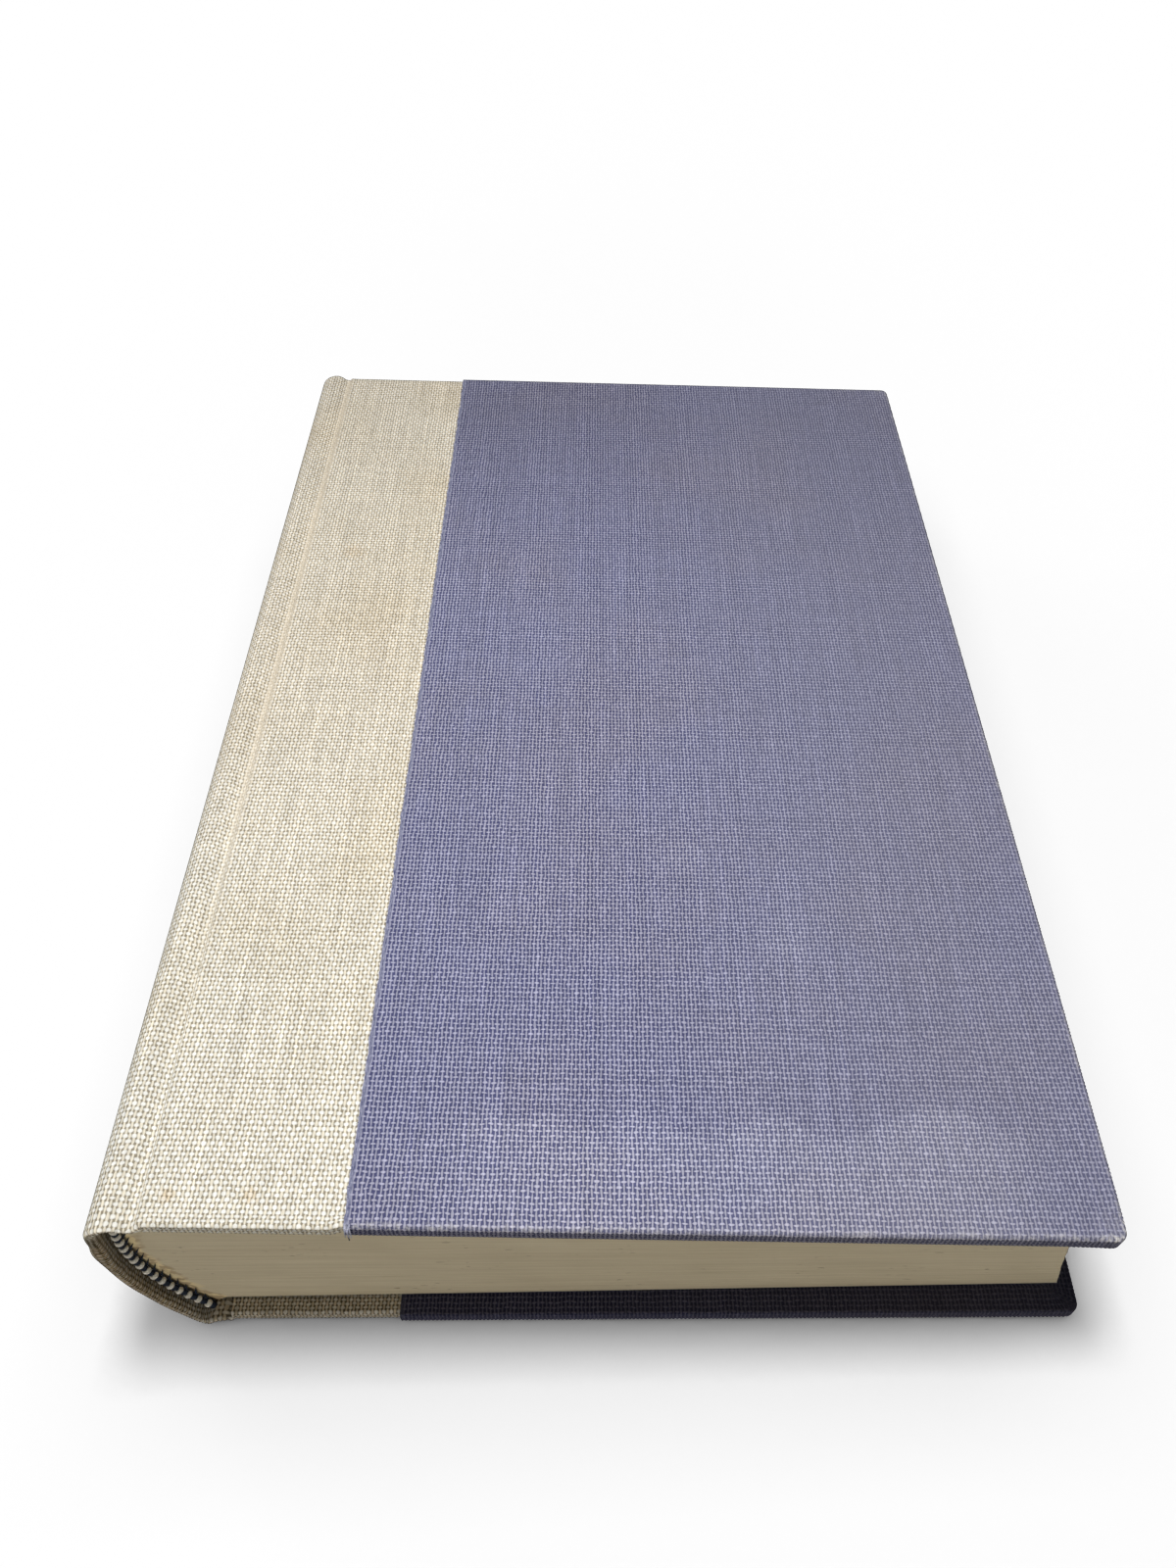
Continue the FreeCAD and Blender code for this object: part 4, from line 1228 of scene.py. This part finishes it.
def make_ribbon(angles, ys):
    """The strip that is glued to the spine, as two faces with a thin gap between them."""
    pairs = np.array([[band_point(a, 0.03, y), band_point(a, 0.28, y)] for y in ys for a in angles])
    count = len(angles)
    faces = grid_faces(2, count) + grid_faces(2, count, 2 * count, True)
    return pairs.transpose(1, 0, 2).reshape(-1, 3), faces


def make_endband(name, end_y, outwards):
    """end_y is the pages' edge at the spine, and outwards is -1 at the tail and 1 at the head."""
    at_back, at_front = spine_angle(BACK), spine_angle(FRONT)
    rng = np.random.default_rng(BAND_SEEDS[outwards])
    bead_y = end_y + outwards * (BEAD_RADIUS + 0.03)
    turns = int(round((at_back - at_front) * BLOCK_RADIUS / STITCH_PITCH))
    core_angles = np.linspace(at_back, at_front, 60)
    core = [band_point(angle, 0, bead_y) for angle in core_angles]
    parts = [
        (tube_along(core, BEAD_RADIUS * 0.66, core_angles), NAVY),
        (make_chain(np.linspace(at_back, at_front, 120), bead_y, outwards), NAVY),
    ]
    for number in range(turns):
        thread = NAVY if number % 2 else WHITE
        angle = at_back + (at_front - at_back) * (number + 0.5) / turns
        angle = angle + rng.uniform(-0.06, 0.06) / BLOCK_RADIUS
        reach = rng.uniform(*STITCH_REACH[thread])
        width = rng.uniform(*STITCH_WIDTH[thread])
        stitch = make_stitch(angle, bead_y, outwards, reach, width, STITCH_STAND[thread], rng)
        parts.append((stitch, thread))
        if thread == NAVY:
            parts.append((make_tooth(angle, bead_y, end_y, outwards, rng), NAVY))
    last_angle = at_back + LAST_PLACE * STITCH_PITCH / BLOCK_RADIUS
    last_turn = make_stitch(last_angle, bead_y, outwards, LAST_REACH, LAST_WIDTH, 0.0, rng)
    parts.append((last_turn, NAVY))
    parts.append((make_ribbon(core_angles, (bead_y, end_y - outwards * BAND_WIDTH)), WHITE))
    band = joined(name, parts, THREADS)
    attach(band, "book_block")
    return band


tail_band = make_endband("striped_tail_band", tail_edge(SPINE_CENTRE[0] - BLOCK_RADIUS), -1)
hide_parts("tail_endband")
head_band = make_endband("striped_head_band", HEAD - HEAD_SQUARE, 1)
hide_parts("head_endband")
print("endbands:", len(tail_band.data.polygons), "faces each")

# %% [markdown]
# Where the blue cloth was cut, some thread ends have worked loose. They are thin curved tubes, a few
# tenths of a millimetre long. A small pale tuft with a dark end hangs over the tail edge, just where
# the two cloths meet.

# %% Loose threads
pale_fibre = thread_material("pale_fibre", linear(206, 208, 224), linear(150, 152, 180))
FIBRE_RADIUS, TUFT_RADIUS = 0.045, 0.117
LOOSE_ENDS = 110
TUFT_PALE, TUFT_DARK = 7, 2
FIBRE_SEEDS = {"front": 31, "back": 32}


def bent_fibre(path, radius, sides=4):
    """A thin tube that tapers towards its free end, through points in millimetres."""
    path = np.array(path, float)
    ways = np.gradient(path, axis=0)
    axes = []
    for way in ways:
        first = np.cross(way, (0.3, 0.2, 1.0))
        first /= np.linalg.norm(first)
        second = np.cross(way / np.linalg.norm(way), first)
        axes.append((first, second))
    radii = radius * np.linspace(1.0, 0.45, len(path))
    return sausage(path, radii, axes, sides)


def loose_ends(cover, rng):
    """Short ends that stick out of the cut edge, each with the number of its thread."""
    tubes = []
    for y in np.sort(rng.uniform(TAIL + 1.5, HEAD - 1.5, LOOSE_ENDS)):
        reach, drift = rng.uniform(0.12, 0.42), rng.uniform(-0.35, 0.35)
        stations = [(0.15, -0.02, 0), (-0.05, -0.03, 0.2), (-0.5 * reach, 0.10, 0.6), (-reach, 0.30, 1)]
        path = [cover.point(BOUNDARY + u, v, y + drift * share) for u, v, share in stations]
        tubes.append((bent_fibre(path, FIBRE_RADIUS), int(rng.random() < 0.25)))
    return tubes


def tuft(cover, rng):
    """The threads that hang over the tail edge. The last ones are dark and longer."""
    tubes = []
    for number in range(TUFT_PALE + TUFT_DARK):
        u, sway = rng.uniform(0.1, 0.9), rng.uniform(-0.3, 0.5)
        dark = number >= TUFT_PALE
        depth = rng.uniform(3.2, 3.8) if dark else rng.uniform(1.4, 2.6)
        stations = [(u, 0.15, 0.45), (u + 0.3 * sway, -0.05, -0.1),
                    (u + 0.7 * sway, 0.45 * depth, -0.45), (u + sway, depth, -0.55)]
        path = [cover.point(BOUNDARY + du, v, TAIL + dy) for du, v, dy in stations]
        tubes.append((bent_fibre(path, TUFT_RADIUS), int(dark)))
    return tubes


def make_loose_threads(cover):
    rng = np.random.default_rng(FIBRE_SEEDS[cover.side])
    tubes = loose_ends(cover, rng)
    if cover is FRONT:
        tubes += tuft(cover, rng)
    threads = joined(f"{cover.side}_loose_threads", tubes, (pale_fibre, navy_thread))
    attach(threads, cover.body)
    return threads


for cover in COVERS:
    loose_threads = make_loose_threads(cover)
    print(loose_threads.name, len(loose_threads.data.polygons), "faces")

# %% [markdown]
# ## Endpapers and hidden pieces
# The free flyleaves keep their CAD solids and get a paper material. So do the pieces inside, which
# hardly show: boards, gauze, the spine's lining and the card that stiffens it.

# %% Paper and board materials


def paper_material(name, colour, dark, grain_scale, relief):
    material, nodes, shader = new_material(name, 0.85, 0.12)
    place = nodes.add("ShaderNodeTexCoord").outputs["Object"]
    grain = nodes.noise(place, grain_scale, 4.0, 0.6)
    cloud = nodes.noise(place, 25.0, 3.0)
    tone = nodes.mix(nodes.steps(grain, 0.35, 0.68), dark, colour)
    tone = nodes.mix(nodes.steps(cloud, 0.45, 0.75, 0.0, 0.25), tone, dark)
    bump = nodes.add("ShaderNodeBump", {"Strength": relief, "Distance": 0.0001, "Height": grain})
    nodes.feed(shader.inputs["Base Color"], tone)
    nodes.feed(shader.inputs["Normal"], bump.outputs[0])
    return material


end_paper = paper_material("end_paper", linear(232, 226, 208), linear(220, 213, 192), 1800.0, 0.2)
grey_board = paper_material("grey_board", linear(150, 142, 128), linear(120, 112, 98), 1400.0, 0.5)
brown_card = paper_material("brown_card", linear(150, 126, 92), linear(122, 100, 72), 1500.0, 0.4)
gauze = paper_material("gauze", linear(222, 214, 196), linear(170, 160, 140), 2600.0, 0.8)
node_finish = {
    "front_flyleaf": end_paper, "back_flyleaf": end_paper,
    "front_board": grey_board, "back_board": grey_board,
    "spine_inlay": brown_card, "spine_lining": brown_card,
    "mull": gauze, "front_mull_flange": gauze, "back_mull_flange": gauze,
}
for node_name, finish in node_finish.items():
    mesh = frame["nodes"][node_name].data
    mesh.materials.clear()
    mesh.materials.append(finish)
print("finished hidden nodes:", ", ".join(sorted(node_finish)))

# %% [markdown]
# The pastedown is glued inside the cover, sinks a little where the folded cloth ends, and runs on
# through the joint to the flyleaf. It is a sheet of its own. Its points lie closest where it sinks
# and where it bends in the joint.

# %% Pastedowns
PASTE_MARGIN, PASTE_TAIL_MARGIN = 3.4, 4.8
PASTE_LEVEL = 3.25
SUNK_LEVEL = 2.86
FLANGE_EDGE = 25.0
LEAF_START = {"front": -1.15, "back": -1.25}
JOINT_U = (-0.02, -0.10, -0.16, -0.24, -0.36, -0.52, -0.68, -0.80, -0.90, -1.00)
JOINT_V = (3.20, 3.0, 2.6, 2.2, 2.0, 1.94, 2.05, 2.35, 2.75, 3.15, 3.36)
PASTE_BLEND = (-0.95, -0.15)  # two places either side of the hinge, at this level
PASTE_BLEND_LEVEL = 2.0


def sunk_share(value, low, high):
    return smooth_between(value, low, low + 0.9) * (1 - smooth_between(value, high - 0.9, high))


def pastedown_rows():
    """The u of every column, from fore-edge to joint, and the y of every row."""
    far = COVER_WIDTH - PASTE_MARGIN
    low_y, high_y = TAIL + PASTE_TAIL_MARGIN, HEAD - PASTE_MARGIN
    flat_u = np.concatenate([[far], np.linspace(far - 1, far - 20, 16), np.linspace(110, 30, 17),
                             np.linspace(27, 23, 9), np.linspace(20, 0.15, 8)])
    ys = np.concatenate([[low_y], np.linspace(low_y + 1, low_y + 14, 14),
                         np.linspace(low_y + 20, high_y - 20, 14),
                         np.linspace(high_y - 14, high_y - 1, 14), [high_y]])
    return flat_u, ys


def make_pastedown(cover):
    flat_u, ys = pastedown_rows()
    u = np.concatenate([flat_u, JOINT_U, [LEAF_START[cover.side]]])
    v = np.concatenate([np.full(len(flat_u), PASTE_LEVEL), JOINT_V])
    grid_u, grid_y = np.meshgrid(u, ys)
    grid_v = np.broadcast_to(v, grid_u.shape).copy()
    sunk_across = sunk_share(grid_u, FLANGE_EDGE, COVER_WIDTH - TURN_IN)
    sunk_along = sunk_share(grid_y, TAIL + TURN_IN, HEAD - TURN_IN)
    grid_v -= sunk_across * sunk_along * (PASTE_LEVEL - SUNK_LEVEL)
    xz = cover.xz(grid_u.ravel(), grid_v.ravel())
    points = np.column_stack([xz[:, 0], grid_y.ravel(), xz[:, 1]])
    flat = np.column_stack([grid_u.ravel(), grid_y.ravel()])
    faces = grid_faces(*grid_u.shape, flip=cover is BACK)
    sheet = mesh_object(f"{cover.side}_endpaper", points, faces, flat, end_paper)
    start, end = (cover.point(blend_u, PASTE_BLEND_LEVEL, 0) for blend_u in PASTE_BLEND)
    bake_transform(sheet)
    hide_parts(cover.side + "_pastedown")
    return sheet


for cover in COVERS:
    print(make_pastedown(cover).name)

# %% [markdown]
# ## Stage
# The backdrop is white, but only the camera and mirror rays see it. For all other light the world
# gives a weak, slightly cool light, so the lamps decide how the book looks. The floor lies 0.9 mm
# below the book, so that the opened back cover doesn't share its plane. It is dark and only catches
# the shadow, so that nothing shines up from below.

# %% World and floor
AMBIENT_STRENGTH = 0.05
FLOOR_LEVEL = -0.0009
FLOOR_SIZE = 6.0

scene = bpy.context.scene
scene.view_settings.view_transform = "Standard"

world = bpy.data.worlds.new("studio")
scene.world = world
world.use_nodes = True
world.node_tree.nodes.clear()
world_nodes = Nodes(world.node_tree)
rays = world_nodes.add("ShaderNodeLightPath").outputs
in_mirror = world_nodes.math("MAXIMUM", rays["Is Glossy Ray"], rays["Is Transmission Ray"])
seen = world_nodes.math("MAXIMUM", rays["Is Camera Ray"], in_mirror)
ambient_light = {"Color": (0.95, 0.97, 1.0, 1), "Strength": AMBIENT_STRENGTH}
ambient = world_nodes.add("ShaderNodeBackground", ambient_light)
backdrop = world_nodes.add("ShaderNodeBackground", {"Color": (1, 1, 1, 1), "Strength": 1.0})
choose = world_nodes.add("ShaderNodeMixShader", {0: seen, 1: ambient.outputs[0], 2: backdrop.outputs[0]})
world_nodes.add("ShaderNodeOutputWorld", {"Surface": choose.outputs[0]})

bpy.ops.mesh.primitive_plane_add(size=FLOOR_SIZE, location=(0, 0, FLOOR_LEVEL))
floor = bpy.context.object
floor.name = "floor"
floor_material, _, floor_shader = new_material("shadow_floor", 0.9)
floor_shader.inputs["Base Color"].default_value = (0.08, 0.08, 0.08, 1)
floor.data.materials.append(floor_material)
floor.is_shadow_catcher = True
print("floor at", floor.location.z, "m")

# %% [markdown]
# The main lamp hangs close above the tail half of the book, so the near cloth is brighter than the
# far end, and the squares under the front cover stay in its shade. A weak lamp stands low in front
# and opens up the page edges. Another behind on the left does the same for the spine and the head,
# which this view doesn't show. The last lamp is linked to the floor alone: it keeps the shadow faint
# there and adds no light to the book.

# %% Lamps
SUBJECT = (0, 0, 0.02)


def area_lamp(name, place, target, size, power, colour=(1, 1, 1)):
    data = bpy.data.lights.new(name, "AREA")
    data.shape = "RECTANGLE"
    data.size, data.size_y = size
    data.energy = power
    data.color = colour
    lamp = bpy.data.objects.new(name, data)
    lamp.location = place
    lamp.rotation_euler = (Vector(target) - Vector(place)).to_track_quat("-Z", "Y").to_euler()
    scene.collection.objects.link(lamp)
    return lamp


area_lamp("overhead", (0.0, -0.065, 0.45), (0, -0.065, 0), (0.10, 0.10), 1.70, (1.0, 0.985, 0.955))
area_lamp("low_front", (-0.1, -1.4, 0.28), SUBJECT, (1.0, 0.35), 4.4, (1.0, 0.94, 0.82))
area_lamp("low_behind", (-0.95, 0.95, 0.2), SUBJECT, (0.9, 0.3), 4.0, (0.97, 0.98, 1.0))
floor_lamp = area_lamp("floor_only", (0, 0, 1.6), (0, 0, 0), (2.0, 2.0), 45.0)
floor_group = bpy.data.collections.new("floor_group")
floor_group.objects.link(floor)
floor_lamp.light_linking.receiver_collection = floor_group
